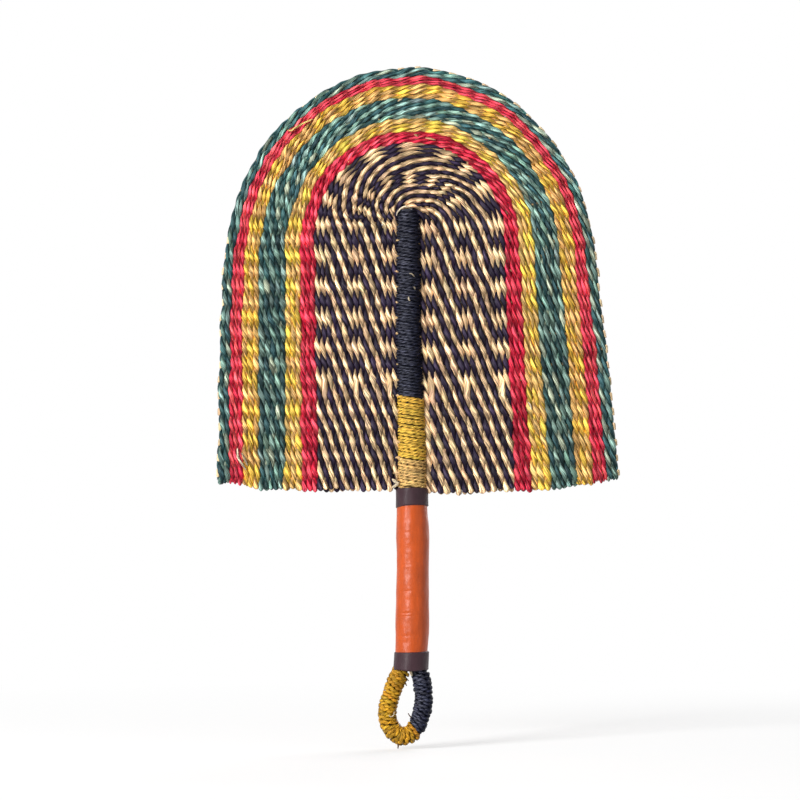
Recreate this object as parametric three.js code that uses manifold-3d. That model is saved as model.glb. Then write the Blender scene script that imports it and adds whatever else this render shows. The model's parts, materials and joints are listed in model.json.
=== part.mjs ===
// A pair-twined straw hand fan: horseshoe blade, wrapped spine, leather grip and wrapped hang loop.
// The pieces are laid out in the plane of the blade: x across, y up along the handle, z out of the front.
// The last lines stand that plane upright, so that z runs up the handle and the front faces -y.
// Lengths are in millimetres, angles in degrees, and y = 0 is the middle of the grip.
import * as THREE from "three";
import { mergeVertices } from "three/addons/utils/BufferGeometryUtils.js";
import Module from "manifold-3d";

const wasm = await Module();
wasm.setup();

// Clearances
const CLEARANCE = 0.3; // between pieces that touch on the real fan
const WELD = 1e-5; // corners closer than this are one
const ROW_GAP = 0.36; // between neighbouring rows of twining
const TURN_GAP = 0.5; // between neighbouring turns of a wrap
const SEAM_GAP = 0.6; // between the butted edges of a leather piece

// Stakes
const STAKE_DIAMETER = 1.8;
const STAKE_SIDES = 6;
const STAKE_PITCH = 9.06; // between cross stakes, along the handle
const STAKE_OVERHANG = 1.2; // cut ends that stand out past the edge row
const CROSS_STAKES = 16;
const CROWN_STAKES = 13; // at the tip of the spine, and each forks in two
const CROWN_START = 11; // angle of the crown's first sector above the springing line
const CROWN_SPANS = 1.5; // stake spaces of wrapped spine above the last cross stake
const FORK_ROWS = 2.5; // rows over which a crown stake parts in two
const HUB_DIAMETER = 6;
const HUB_START = 200; // angles between which the hub is round, below its stakes
const HUB_END = 340;
const HUB_STEPS = 4;
const HUB_HEIGHT = 2; // centre of the crown's hub above the end of the spine wrap

// Blade
const STRAND_THICKNESS = 1.4; // one strand of a row, in front of the stakes or behind them
const STRAND_CREST = 0.56; // share of a row's width that is left at the crest of its strand
const PATTERN_PITCH = 3.24; // row to row at the side, in the pattern
const BAND_PITCH = 2.87; // and in the plain bands
const PATTERN_RISE = 2.42; // row to row over the top of the arch, in the pattern
const BAND_RISE = 2.34; // and in the plain bands
const PATTERN_DROP = 0.66; // how much lower each arch springs than the one inside it, in the pattern
const BAND_DROP = 1.385; // and in the plain bands
const TIP_RISE = 9.1; // height of the innermost arch
const TIP_SETBACK = 2; // its springing line, below the end of the spine wrap
const ARCH_OFFSET = -1.2; // the edge row's arch stands this far left of the handle's axis
const LEG_LEAN = 5; // how far the legs of the edge row lean to the right
const LEG_FLARE = 7; // and how far they open out
const FLARE_POWER = 2.5; // how fast the flare fades towards the spine
const END_LENGTH = 4; // closing twist of a row, below its last stake
const ARCH_STEPS = 12; // facets over an arch, half as many on the innermost rows
const TIGHT_ROWS = 4;

// Stem bundle and spine wraps
const TIP_RADIUS = 5.2; // of the bundle where the spine wrap ends
const FOOT_RADIUS = 7; // of the bundle at the foot of the blade
const GRIP_RADIUS = 7.5; // of the bundle inside the grip
const END_RADIUS = 2.8; // of the bundle's bare end
const BARE_END_REACH = 0.8; // how far up the innermost arch the bare end reaches
const SHOULDER_REACH = 0.6; // share of the bare end's length up to its rounded shoulder
const SHOULDER_DRAW = 0.3; // share of its narrowing that lies below the shoulder
const TWIST_STEPS = 5; // over the quarter turn inside the grip
const WRAP_THICKNESS = 1.3;
const WRAP_CREST = 0.7; // share of a turn's width that is left at its crest
const NATURAL_SPANS = 2; // stake spaces that the natural wrap covers
const YELLOW_SPANS = 4;
const FINE_TURNS = 4; // turns in one stake space, natural and yellow
const BROAD_TURNS = 2; // and dark blue
const TURN_STEPS = 12;
const QUARTER = 0.25; // of a turn, from the middle of the back to the side

// Leather grip and collars
const GRIP_LENGTH = 85; // between the collars
const SLEEVE_TUCK = 5; // sleeve under each collar
const SLEEVE_SWELL = 9.45; // outer radius of the sleeve at its fullest
const SLEEVE_WAIST = 9.25; // and where the hand has pressed it
const SLEEVE_NECK = 9.1; // and where it draws in below the upper collar
const SLEEVE_TOP = 8.4; // outer radius under the upper collar
const SLEEVE_FOOT = 8.9; // and under the lower collar
const SLEEVE_SHOULDER = 6.8; // height over which the sleeve draws in at each collar
const UPPER_COLLAR_HEIGHT = 10.5;
const LOWER_COLLAR_HEIGHT = 10.8;
const COLLAR_THICKNESS = 0.8;
const COLLAR_FLARE = 0.4; // the lower collar opens out towards the loop
const ROUND_STEPS = 24;

// Hang loop
const LOOP_RADIUS = 3.8; // of the bundle in the loop
const LOOP_WRAP_THICKNESS = 1.1;
const LOOP_YELLOW_TURNS = 18;
const LOOP_NAVY_TURNS = 11;
const LOOP_BARE_END = 5.5; // bundle left bare at each end of the loop's route
const LOOP_STEPS = 20;
// The loop's centreline, as distance right of the axis and drop below the lower collar
const LOOP_ROUTE = [
  [-4.9, -1.5],
  [-5.2, 0.6],
  [-9, 6],
  [-12.6, 15],
  [-14.7, 24],
  [-13.5, 32.5],
  [-10.2, 36.9],
  [-4.9, 38.6],
  [0.4, 36.9],
  [3.75, 32.5],
  [5.6, 25],
  [6.2, 17],
  [5.6, 8],
  [4.9, -1.5],
];

// Bands of rows from the spine out to the edge
const BANDS = [
  { name: "pattern_row", rows: 15, color: 0x6d6468 },
  { name: "inner_red_row", rows: 3, color: 0xd93f4c },
  { name: "inner_yellow_row", rows: 3, color: 0xe6c03c },
  { name: "green_row", rows: 5, color: 0x3c7370 },
  { name: "outer_yellow_row", rows: 3, color: 0xe6c03c },
  { name: "outer_red_row", rows: 3, color: 0xd93f4c },
  { name: "edge_green_row", rows: 2, color: 0x2f6668 },
];
const PATTERN_ROWS = BANDS[0].rows;
const ROWS = BANDS.reduce((sum, band) => sum + band.rows, 0);

// Heights along the handle
const GRIP_TOP = GRIP_LENGTH / 2;
const GRIP_FOOT = -GRIP_LENGTH / 2;
const BLADE_FOOT = GRIP_TOP + UPPER_COLLAR_HEIGHT;
const LOOP_TOP = GRIP_FOOT - LOWER_COLLAR_HEIGHT;
const WRAP_SPANS = CROSS_STAKES + CROWN_SPANS;
const WRAP_END = BLADE_FOOT + WRAP_SPANS * STAKE_PITCH;
const INNER_SPRING = WRAP_END - TIP_SETBACK;
const ROW_FOOT = BLADE_FOOT + CLEARANCE;

// Sizes that follow from the stakes
const STAKE_RADIUS = STAKE_DIAMETER / 2;
const SLOT = STAKE_RADIUS + CLEARANCE;
const BLADE_HALF = SLOT + STRAND_THICKNESS;

const vec = (x, y, z = 0) => new THREE.Vector3(x, y, z);
const radians = THREE.MathUtils.degToRad;
const lerp = THREE.MathUtils.lerp;

function straw(color) {
  return new THREE.MeshStandardMaterial({ color, roughness: 0.62, metalness: 0 });
}

function leather(color) {
  return new THREE.MeshStandardMaterial({ color, roughness: 0.42, metalness: 0 });
}

function signedVolume(points, triangles) {
  let volume = 0;
  for (let i = 0; i < triangles.length; i += 3) {
    const [a, b, c] = [points[triangles[i]], points[triangles[i + 1]], points[triangles[i + 2]]];
    volume += a.dot(b.clone().cross(c)) / 6;
  }
  return volume;
}

// A closed body through rings of points: capped at both ends, or joined end to end
function loft(rings, joined = false) {
  const sides = rings[0].length;
  const points = rings.flat();
  const triangles = [];
  const spans = joined ? rings.length : rings.length - 1;
  for (let i = 0; i < spans; i += 1) {
    const here = i * sides;
    const next = ((i + 1) % rings.length) * sides;
    for (let j = 0; j < sides; j += 1) {
      const k = (j + 1) % sides;
      triangles.push(here + j, here + k, next + k);
      triangles.push(here + j, next + k, next + j);
    }
  }
  if (!joined) {
    const last = (rings.length - 1) * sides;
    for (let j = 1; j < sides - 1; j += 1) {
      triangles.push(0, j + 1, j);
      triangles.push(last, last + j, last + j + 1);
    }
  }
  if (signedVolume(points, triangles) < 0) {
    triangles.reverse();
  }
  const geometry = new THREE.BufferGeometry().setFromPoints(points);
  geometry.setIndex(triangles);
  geometry.computeVertexNormals();
  return geometry;
}

function solidOf(geometry) {
  const bare = geometry.clone();
  bare.deleteAttribute("normal");
  bare.deleteAttribute("uv");
  const merged = mergeVertices(bare, WELD);
  const mesh = { numProp: 3 };
  mesh.vertProperties = new Float32Array(merged.attributes.position.array);
  mesh.triVerts = new Uint32Array(merged.index.array);
  return new wasm.Manifold(new wasm.Mesh(mesh));
}

function geometryOf(solid) {
  const mesh = solid.getMesh();
  const geometry = new THREE.BufferGeometry();
  geometry.setAttribute("position", new THREE.BufferAttribute(mesh.vertProperties, 3));
  geometry.setIndex(new THREE.BufferAttribute(mesh.triVerts, 1));
  geometry.computeVertexNormals();
  return geometry;
}

// A straight straw between two points
function rod(from, to, radius) {
  const way = to.clone().sub(from);
  const geometry = new THREE.CylinderGeometry(radius, radius, way.length(), STAKE_SIDES);
  const turn = new THREE.Quaternion().setFromUnitVectors(vec(0, 1, 0), way.normalize());
  geometry.applyQuaternion(turn);
  const middle = from.clone().lerp(to, 0.5);
  return geometry.translate(middle.x, middle.y, middle.z);
}

// Values that grow by one step a row in the pattern and by another in the bands
function grown(k, patternStep, bandStep) {
  return patternStep * Math.min(k, PATTERN_ROWS) + bandStep * Math.max(k - PATTERN_ROWS, 0);
}

function bundleRadius(y) {
  const share = (y - BLADE_FOOT) / (WRAP_END - BLADE_FOOT);
  return lerp(FOOT_RADIUS, TIP_RADIUS, share);
}

function wrapRadius(y) {
  return bundleRadius(y) + CLEARANCE + WRAP_THICKNESS;
}

// Row edge number k, from 0 beside the spine to ROWS at the rim of the blade
function springHeight(k) {
  return INNER_SPRING - grown(k, PATTERN_DROP, BAND_DROP);
}

function archTop(k) {
  return INNER_SPRING + TIP_RISE + grown(k, PATTERN_RISE, BAND_RISE);
}

function halfWidth(k) {
  return wrapRadius(INNER_SPRING) + CLEARANCE + grown(k, PATTERN_PITCH, BAND_PITCH);
}

// Sideways shift of a row edge: inner rows follow the spine, outer rows lean over
function shift(k, down) {
  const ease = 1 - (1 - k / ROWS) ** 2;
  return ease * (ARCH_OFFSET + LEG_LEAN * down);
}

// Point of row edge k on its leg, at height y, on the side -1 or 1
function legPoint(k, y, side) {
  const share = k / ROWS;
  const down = (springHeight(k) - y) / (springHeight(k) - ROW_FOOT);
  const taper = (wrapRadius(ROW_FOOT) - wrapRadius(INNER_SPRING)) * (1 - share);
  const reach = halfWidth(k) + (taper + LEG_FLARE * share ** FLARE_POWER) * down;
  return vec(side * reach + shift(k, down), y);
}

// Point of row edge k on its arch, at an angle above the right end of the springing line
function archPoint(k, angle) {
  const across = halfWidth(k) * Math.cos(radians(angle));
  const rise = (archTop(k) - springHeight(k)) * Math.sin(radians(angle));
  return vec(across + shift(k, 0), springHeight(k) + rise);
}

// Where the rim of the blade lies at height y, on the side -1 or 1
function rimPoint(y, side) {
  if (y <= springHeight(ROWS)) {
    return legPoint(ROWS, y, side);
  }
  const share = (y - springHeight(ROWS)) / (archTop(ROWS) - springHeight(ROWS));
  const angle = THREE.MathUtils.radToDeg(Math.asin(share));
  return archPoint(ROWS, side > 0 ? angle : 180 - angle);
}

// The line of row edge k from the foot of its left leg over the arch to the foot of its right leg
function edgeLine(k, steps) {
  const line = [legPoint(k, ROW_FOOT + END_LENGTH, -1)];
  for (let i = 0; i <= steps; i += 1) {
    line.push(archPoint(k, 180 - (180 * i) / steps));
  }
  line.push(legPoint(k, ROW_FOOT + END_LENGTH, 1));
  return line;
}

// Twined row: one strand in front of the stakes and one behind, closed by a twist at both feet
function twinedRow(row) {
  const steps = row < TIGHT_ROWS ? ARCH_STEPS / 2 : ARCH_STEPS;
  const inner = edgeLine(row, steps);
  const outer = edgeLine(row + 1, steps);
  const section = (a, b, base, crest, baseDrop = 0, crestDrop = 0) => {
    const margin = ROW_GAP / 2 / a.distanceTo(b);
    const inset = (1 - STRAND_CREST) / 2;
    const at = (share, z, drop) => a.clone().lerp(b, share).add(vec(0, -drop, z));
    return [
      at(margin, base, baseDrop),
      at(1 - margin, base, baseDrop),
      at(1 - inset, crest, crestDrop),
      at(inset, crest, crestDrop),
    ];
  };
  const front = inner.map((a, i) => section(a, outer[i], SLOT, BLADE_HALF));
  const back = inner.map((a, i) => section(a, outer[i], -SLOT, -BLADE_HALF));
  const twist = (i, side) => section(
    inner[i],
    outer[i],
    (side * SLOT) / 2,
    side * (BLADE_HALF - STRAND_THICKNESS / 2),
    0,
    END_LENGTH,
  );
  const last = inner.length - 1;
  const rings = [...front, twist(last, 1), twist(last, -1), ...back.reverse(), twist(0, -1), twist(0, 1)];
  return loft(rings, true);
}

function crossStake(number) {
  const y = BLADE_FOOT + number * STAKE_PITCH;
  const over = vec(STAKE_OVERHANG, 0);
  return rod(rimPoint(y, -1).sub(over), rimPoint(y, 1).add(over), STAKE_RADIUS);
}

// Crown: stakes from a hub in the spine's tip, each parting in two where the pattern ends. They are cut
// as one outline, which runs out along the right side of each straw and back along its left side
function crownStakes() {
  const hub = vec(0, WRAP_END + HUB_HEIGHT);
  const toSide = (before, at, after, side) => {
    const first = at.clone().sub(before).normalize();
    const second = after.clone().sub(at).normalize();
    const way = first.add(second).normalize();
    return at.clone().add(vec(way.y, -way.x).multiplyScalar(side * STAKE_RADIUS));
  };
  // Where the facing sides of two straws from the same point meet
  const crotch = (from, a, b) => {
    const wayA = a.clone().sub(from).normalize();
    const wayB = b.clone().sub(from).normalize();
    const reach = (2 * STAKE_RADIUS) / wayA.distanceTo(wayB);
    return from.clone().add(wayA.add(wayB).setLength(reach));
  };
  const sector = (180 - 2 * CROWN_START) / CROWN_STAKES;
  const stakes = Array.from({ length: CROWN_STAKES }, (_, i) => {
    const angle = CROWN_START + sector * (i + 0.5);
    const branches = [-1, 1].map((side) => {
      const parted = archPoint(PATTERN_ROWS + FORK_ROWS, angle + (side * sector) / 4);
      const rim = archPoint(ROWS, angle + (side * sector) / 4);
      const end = rim.clone().add(rim.clone().sub(parted).setLength(STAKE_OVERHANG));
      return { parted, end };
    });
    return { fork: archPoint(PATTERN_ROWS, angle), branches };
  });
  const outline = [];
  stakes.forEach(({ fork, branches }, i) => {
    if (i > 0) {
      outline.push(crotch(hub, stakes[i - 1].fork, fork));
    }
    const [right, left] = branches;
    outline.push(toSide(hub, fork, right.parted, 1));
    for (const { parted, end } of branches) {
      const past = end.clone().multiplyScalar(2).sub(parted);
      outline.push(toSide(fork, parted, end, 1));
      outline.push(toSide(parted, end, past, 1));
      outline.push(toSide(parted, end, past, -1));
      outline.push(toSide(fork, parted, end, -1));
      if (parted === right.parted) {
        outline.push(crotch(fork, right.parted, left.parted));
      }
    }
    outline.push(toSide(hub, fork, left.parted, -1));
  });
  const hubRadius = HUB_DIAMETER / 2;
  const hubArc = new THREE.EllipseCurve(0, 0, hubRadius, hubRadius, radians(HUB_START), radians(HUB_END));
  for (const point of hubArc.getPoints(HUB_STEPS)) {
    outline.push(hub.clone().add(vec(point.x, point.y)));
  }
  const shape = new THREE.Shape(outline.map((point) => new THREE.Vector2(point.x, point.y)));
  const options = { depth: STAKE_DIAMETER, bevelEnabled: false };
  return geometryOf(solidOf(new THREE.ExtrudeGeometry(shape, options).translate(0, 0, -STAKE_RADIUS)));
}

// Hang loop centreline in the plane of the blade
const loopLine = new THREE.CatmullRomCurve3(
  LOOP_ROUTE.map(([across, drop]) => vec(across, LOOP_TOP - drop)),
);
loopLine.arcLengthDivisions = 800;

function loopFrame(distance) {
  const share = distance / loopLine.getLength();
  const way = loopLine.getTangentAt(share);
  return { middle: loopLine.getPointAt(share), way, outward: vec(way.y, -way.x) };
}

// Stem bundle: one folded bundle, whose legs clasp the stakes in front and behind, turn a quarter
// inside the grip and come out side by side as the hang loop
function stemBundle() {
  const angles = Array.from({ length: TURN_STEPS }, (_, j) => (2 * Math.PI * j) / TURN_STEPS);
  // Half of a round section on one side of the slot, with its corners on the facets of the whole round
  const halfRing = (y, radius, turn, leg) => angles.map((a) => {
    const outward = vec(-Math.sin(turn), 0, Math.cos(turn)).multiplyScalar(leg);
    const along = vec(Math.cos(turn), 0, Math.sin(turn));
    const flat = radius - SLOT * Math.tan(Math.PI / TURN_STEPS);
    const depth = Math.max(radius * Math.cos(a), SLOT);
    const across = THREE.MathUtils.clamp(radius * Math.sin(a), -flat, flat);
    return vec(0, y).addScaledVector(outward, depth).addScaledVector(along, across);
  });
  const bareEnd = INNER_SPRING + TIP_RISE * BARE_END_REACH - WRAP_END;
  const stations = [
    [WRAP_END + bareEnd, END_RADIUS, 0],
    [WRAP_END + bareEnd * SHOULDER_REACH, lerp(TIP_RADIUS, END_RADIUS, SHOULDER_DRAW), 0],
    [WRAP_END, TIP_RADIUS, 0],
    [BLADE_FOOT, FOOT_RADIUS, 0],
  ];
  for (let i = 0; i <= TWIST_STEPS; i += 1) {
    const share = i / TWIST_STEPS;
    stations.push([lerp(GRIP_TOP, GRIP_FOOT, share), GRIP_RADIUS, (share * Math.PI) / 2]);
  }
  stations.push([GRIP_FOOT - SLEEVE_TUCK - CLEARANCE, GRIP_RADIUS, Math.PI / 2]);
  const frontLeg = stations.map(([y, radius, turn]) => halfRing(y, radius, turn, 1));
  const backLeg = stations.map(([y, radius, turn]) => halfRing(y, radius, turn, -1));
  const loop = [];
  for (let i = 0; i <= LOOP_STEPS; i += 1) {
    const { middle, outward } = loopFrame((loopLine.getLength() * i) / LOOP_STEPS);
    loop.push(angles.map((a) => middle.clone()
      .addScaledVector(outward, LOOP_RADIUS * Math.cos(a))
      .addScaledVector(vec(0, 0, 1), LOOP_RADIUS * Math.sin(a))));
  }
  return loft([...frontLeg, ...loop, ...backLeg.reverse()]);
}

// A wrap: one unbroken flat strand wound round a line. place(u, lift) gives a point of the strand after
// u turns and at a height above its foot, with the directions out of the wrap and along the line, and
// room(u, lift) gives the width that the neighbouring turns leave there
function wound(name, start, end, thickness, place, room) {
  const ring = (u, ahead = 0) => {
    const { point, out, along } = place(u, 0);
    const way = place(u + ahead / TURN_STEPS, 0).point.sub(point);
    way.addScaledVector(out, -way.dot(out));
    point.add(way.setLength(Math.abs(ahead) * thickness));
    const footWidth = room(u, 0);
    const crestWidth = Math.min(footWidth * WRAP_CREST, room(u, thickness));
    const at = (offset, lift) => point.clone().addScaledVector(along, offset).addScaledVector(out, lift);
    return [
      at(-footWidth / 2, 0),
      at(footWidth / 2, 0),
      at(crestWidth / 2, thickness),
      at(-crestWidth / 2, thickness),
    ];
  };
  const count = Math.round((end - start) * TURN_STEPS);
  const turns = Array.from({ length: count + 1 }, (_, i) => ring(start + i / TURN_STEPS));
  // Both ends run on straight for the thickness of the strand
  const rings = [ring(start, -1), ...turns, ring(end, 1)];
  console.log(`${name}: least gap between turns ${leastGap(rings).toFixed(2)} mm`);
  return loft(rings);
}

// Least distance between points of the strand that lie most of a turn or more apart along it
function leastGap(rings) {
  const mostOfTurn = TURN_STEPS * 3 / 4;
  let least = Infinity;
  for (let i = 0; i < rings.length; i += 1) {
    const far = Math.min(rings.length, i + 2 * TURN_STEPS);
    for (let j = i + mostOfTurn; j < far; j += 1) {
      for (const p of rings[i]) {
        least = Math.min(least, ...rings[j].map((q) => p.distanceTo(q)));
      }
    }
  }
  return least;
}

// Spine wrap over some stake spaces: level across the front, stepping up across the back, and drawn
// together at the sides, where the stakes come out between the turns
function spineWrap(name, firstSpan, lastSpan, turnsPerSpan) {
  const squeeze = 1 - (STAKE_DIAMETER + 2 * CLEARANCE) / STAKE_PITCH;
  const drawn = (u) => lerp(1, squeeze, Math.sin(2 * Math.PI * u) ** 2);
  const climb = (u) => {
    const nearest = Math.round(u);
    const step = THREE.MathUtils.smoothstep(u - nearest, -QUARTER, QUARTER);
    return nearest - 0.5 + step;
  };
  const place = (u, lift) => {
    const spans = firstSpan + climb(u) / turnsPerSpan;
    const middle = Math.floor(spans) + 0.5;
    const y = BLADE_FOOT + STAKE_PITCH * (middle + (spans - middle) * drawn(u));
    const out = vec(Math.sin(2 * Math.PI * u), 0, -Math.cos(2 * Math.PI * u));
    const point = vec(0, y).addScaledVector(out, bundleRadius(y) + CLEARANCE + lift);
    return { point, out, along: vec(0, 1) };
  };
  const room = (u) => (STAKE_PITCH / turnsPerSpan) * drawn(u) - TURN_GAP;
  const turns = (lastSpan - firstSpan) * turnsPerSpan;
  return wound(name, QUARTER, turns - QUARTER, WRAP_THICKNESS, place, room);
}

// Wrap on the hang loop, counted in turns from the loop's left end
function loopWrap(name, firstTurn, lastTurn) {
  const turns = LOOP_YELLOW_TURNS + LOOP_NAVY_TURNS;
  const pitch = (loopLine.getLength() - 2 * LOOP_BARE_END) / turns;
  const place = (u, lift) => {
    const { middle, way, outward } = loopFrame(LOOP_BARE_END + pitch * u);
    const out = outward.clone().multiplyScalar(Math.cos(2 * Math.PI * u));
    out.addScaledVector(vec(0, 0, 1), Math.sin(2 * Math.PI * u));
    const point = middle.clone().addScaledVector(out, LOOP_RADIUS + CLEARANCE + lift);
    return { point, out, along: way };
  };
  // The turns spread on the outside of the bend and crowd on the inside
  const room = (u, lift) => {
    const { point } = place(u, lift);
    const before = point.distanceTo(place(u - 1, lift).point);
    const after = point.distanceTo(place(u + 1, lift).point);
    return Math.min(before, after) - TURN_GAP;
  };
  return wound(name, firstTurn + QUARTER, lastTurn - QUARTER, LOOP_WRAP_THICKNESS, place, room);
}

// A leather piece: a revolved profile of [radius, height] points, with a butted seam down the back
function leatherTube(profile) {
  const points = profile.map(([radius, y]) => new THREE.Vector2(radius, y));
  points.push(points[0].clone());
  const tube = solidOf(new THREE.LatheGeometry(points, ROUND_STEPS));
  const heights = profile.map(([, y]) => y);
  const low = Math.min(...heights);
  const high = Math.max(...heights);
  const reach = 2 * SLEEVE_SWELL;
  const seam = new THREE.BoxGeometry(SEAM_GAP, high - low + 2 * CLEARANCE, reach);
  seam.translate(0, (low + high) / 2, -reach / 2);
  return geometryOf(tube.subtract(solidOf(seam)));
}

function gripSleeve() {
  const bore = GRIP_RADIUS + CLEARANCE;
  const top = GRIP_TOP + SLEEVE_TUCK;
  const foot = GRIP_FOOT - SLEEVE_TUCK;
  const third = GRIP_LENGTH / 3;
  return leatherTube([
    [bore, foot],
    [SLEEVE_FOOT, foot],
    [SLEEVE_FOOT, GRIP_FOOT - CLEARANCE],
    [SLEEVE_SWELL, GRIP_FOOT + SLEEVE_SHOULDER],
    [SLEEVE_WAIST, GRIP_FOOT + third],
    [SLEEVE_SWELL, GRIP_TOP - third],
    [SLEEVE_NECK, GRIP_TOP - SLEEVE_SHOULDER],
    [SLEEVE_TOP, GRIP_TOP + CLEARANCE],
    [SLEEVE_TOP, top],
    [bore, top],
  ]);
}

function collar(foot, top, footBore, topBore) {
  const lip = COLLAR_THICKNESS / 2;
  return leatherTube([
    [footBore, foot],
    [footBore + lip, foot],
    [footBore + COLLAR_THICKNESS, foot + lip],
    [topBore + COLLAR_THICKNESS, top - lip],
    [topBore + lip, top],
    [topBore, top],
  ]);
}

const fan = new THREE.Group();

function addPiece(name, geometry, material) {
  const piece = new THREE.Mesh(geometry, material);
  piece.name = name;
  fan.add(piece);
}

const NATURAL = 0xdcb787;
const YELLOW = 0xd0a636;
const NAVY = 0x232738;
const GRIP_ORANGE = 0xd85c2a;
const COLLAR_BROWN = 0x4b373b;
const yellowTop = NATURAL_SPANS + YELLOW_SPANS;

addPiece("stem_bundle", stemBundle(), straw(NATURAL));
addPiece("crown_stakes", crownStakes(), straw(NATURAL));
for (let number = 1; number <= CROSS_STAKES; number += 1) {
  addPiece(`cross_stake_${String(number).padStart(2, "0")}`, crossStake(number), straw(NATURAL));
}

let row = 0;
for (const band of BANDS) {
  for (let number = 1; number <= band.rows; number += 1) {
    addPiece(`${band.name}_${String(number).padStart(2, "0")}`, twinedRow(row), straw(band.color));
    row += 1;
  }
}

addPiece(
  "spine_wrap_natural",
  spineWrap("spine_wrap_natural", 0, NATURAL_SPANS, FINE_TURNS),
  straw(NATURAL),
);
addPiece(
  "spine_wrap_yellow",
  spineWrap("spine_wrap_yellow", NATURAL_SPANS, yellowTop, FINE_TURNS),
  straw(YELLOW),
);
addPiece(
  "spine_wrap_navy",
  spineWrap("spine_wrap_navy", yellowTop, WRAP_SPANS, BROAD_TURNS),
  straw(NAVY),
);

addPiece("grip_sleeve", gripSleeve(), leather(GRIP_ORANGE));
addPiece(
  "upper_collar",
  collar(GRIP_TOP, BLADE_FOOT, SLEEVE_TOP + CLEARANCE, SLEEVE_TOP + CLEARANCE),
  leather(COLLAR_BROWN),
);
addPiece(
  "lower_collar",
  collar(LOOP_TOP, GRIP_FOOT, SLEEVE_FOOT + CLEARANCE + COLLAR_FLARE, SLEEVE_FOOT + CLEARANCE),
  leather(COLLAR_BROWN),
);

addPiece("loop_wrap_yellow", loopWrap("loop_wrap_yellow", 0, LOOP_YELLOW_TURNS), straw(YELLOW));
addPiece(
  "loop_wrap_navy",
  loopWrap("loop_wrap_navy", LOOP_YELLOW_TURNS, LOOP_YELLOW_TURNS + LOOP_NAVY_TURNS),
  straw(NAVY),
);

// Stand the blade upright: y becomes z, and the front turns to -y
fan.rotation.x = Math.PI / 2;
const handFan = new THREE.Group();
handFan.add(fan);

export default handFan;
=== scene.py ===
"""Looks of a pair-twined straw hand fan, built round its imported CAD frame.

Shapes are laid out as in the part's source: x across, y up the handle and z out of the front, in
millimetres, with y = 0 at the middle of the grip. to_frame() turns them into the frame's metres.
"""

import json
import math
from typing import NamedTuple

import bpy
import numpy as np
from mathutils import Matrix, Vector, noise


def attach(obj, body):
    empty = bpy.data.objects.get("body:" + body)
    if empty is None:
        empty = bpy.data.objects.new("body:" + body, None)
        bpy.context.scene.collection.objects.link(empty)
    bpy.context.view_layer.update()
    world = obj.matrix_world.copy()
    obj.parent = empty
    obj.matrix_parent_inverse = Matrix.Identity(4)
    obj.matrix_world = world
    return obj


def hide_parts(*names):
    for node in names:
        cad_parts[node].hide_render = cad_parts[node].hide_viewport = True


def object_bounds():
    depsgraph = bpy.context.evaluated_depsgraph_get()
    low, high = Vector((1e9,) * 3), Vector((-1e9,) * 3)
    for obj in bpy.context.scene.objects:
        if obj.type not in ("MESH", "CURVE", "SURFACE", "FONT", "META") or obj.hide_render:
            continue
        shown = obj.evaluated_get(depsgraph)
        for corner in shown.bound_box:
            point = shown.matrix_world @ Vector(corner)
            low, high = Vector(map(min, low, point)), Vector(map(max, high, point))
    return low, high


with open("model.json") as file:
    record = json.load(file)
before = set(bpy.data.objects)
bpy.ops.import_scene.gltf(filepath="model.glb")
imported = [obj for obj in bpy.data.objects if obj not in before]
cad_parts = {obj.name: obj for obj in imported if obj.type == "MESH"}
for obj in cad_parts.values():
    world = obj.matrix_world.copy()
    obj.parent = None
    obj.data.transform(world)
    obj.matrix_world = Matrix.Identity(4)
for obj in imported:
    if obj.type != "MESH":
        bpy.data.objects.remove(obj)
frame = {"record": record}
cad_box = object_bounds()

MM = 0.001
TAU = 2 * math.pi
UP = np.array([0, 1.0, 0])
FRONT = np.array([0, 0, 1.0])
chance = np.random.default_rng(34)

# Heights along the handle
GRIP_TOP = 42.5
GRIP_FOOT = -42.5
BLADE_FOOT = 53.0
LOOP_TOP = -53.3
ROW_FOOT = 53.3

# Stakes
STAKE_RADIUS = 0.9
STAKE_PITCH = 9.06
CROSS_STAKES = 16
CROWN_SPANS = 1.5
STAKE_DIP = 2.4  # how much lower the stakes leave the spine on its right side
DIP_REACH = 55  # and how far out they are level again
WRAP_SPANS = CROSS_STAKES + CROWN_SPANS
WRAP_END = BLADE_FOOT + WRAP_SPANS * STAKE_PITCH


# Blade


class Band(NamedTuple):
    """Neighbouring rows of one kind: their number, and how they differ from even rows."""

    rows: int
    widths: tuple = (1, 1, 1)  # at the foot, up the legs and on the crown
    light: tuple = (1, 1, 1)  # of the colour on the left leg, over the crown and on the right leg; the lift over the crown is painted sheen
    mixed: tuple = (0, 0)  # share of stitches in the other dye, in the first and the second strand


BANDS = {
    "pattern_row": Band(15),
    "inner_red_row": Band(3, (1.06, 0.99, 1.02), (1.05, 1.18, 1.05), (0.35, 0.2)),
    "inner_yellow_row": Band(3, (1.23, 1.00, 1.10), (1, 1.1, 1), (0.25, 0.1)),
    "green_row": Band(5, (0.95, 1.07, 1.05), (1, 1.65, 1), (0.18, 0.15)),
    "outer_yellow_row": Band(3, (0.97, 1.04, 1.16), (1, 1, 1), (0.25, 0.1)),
    "outer_red_row": Band(3, (0.85, 0.80, 0.70), (1.08, 1.14, 1.08), (0.3, 0.6)),
    "edge_green_row": Band(2, (0.99, 0.93, 1.06), (1.25, 1.9, 1.55), (0.18, 0.15)),
}
PATTERN_ROWS = BANDS["pattern_row"].rows
ROWS = sum(band.rows for band in BANDS.values())
CROWN_DROP = 0.4  # how much lower the rim is drawn at the top of the crown, in rows
PATTERN_PITCH, BAND_PITCH = 3.24, 2.87
PATTERN_RISE, BAND_RISE = 2.54, 2.34
PATTERN_DROP, BAND_DROP = 0.66, 1.385
INNER_SPRING = WRAP_END - 2
TIP_RISE = 7.4
ARCH_OFFSET = -1.2
LEG_LEAN = 5
LEG_FLARE = 7
FLARE_POWER = 2.5
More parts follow.
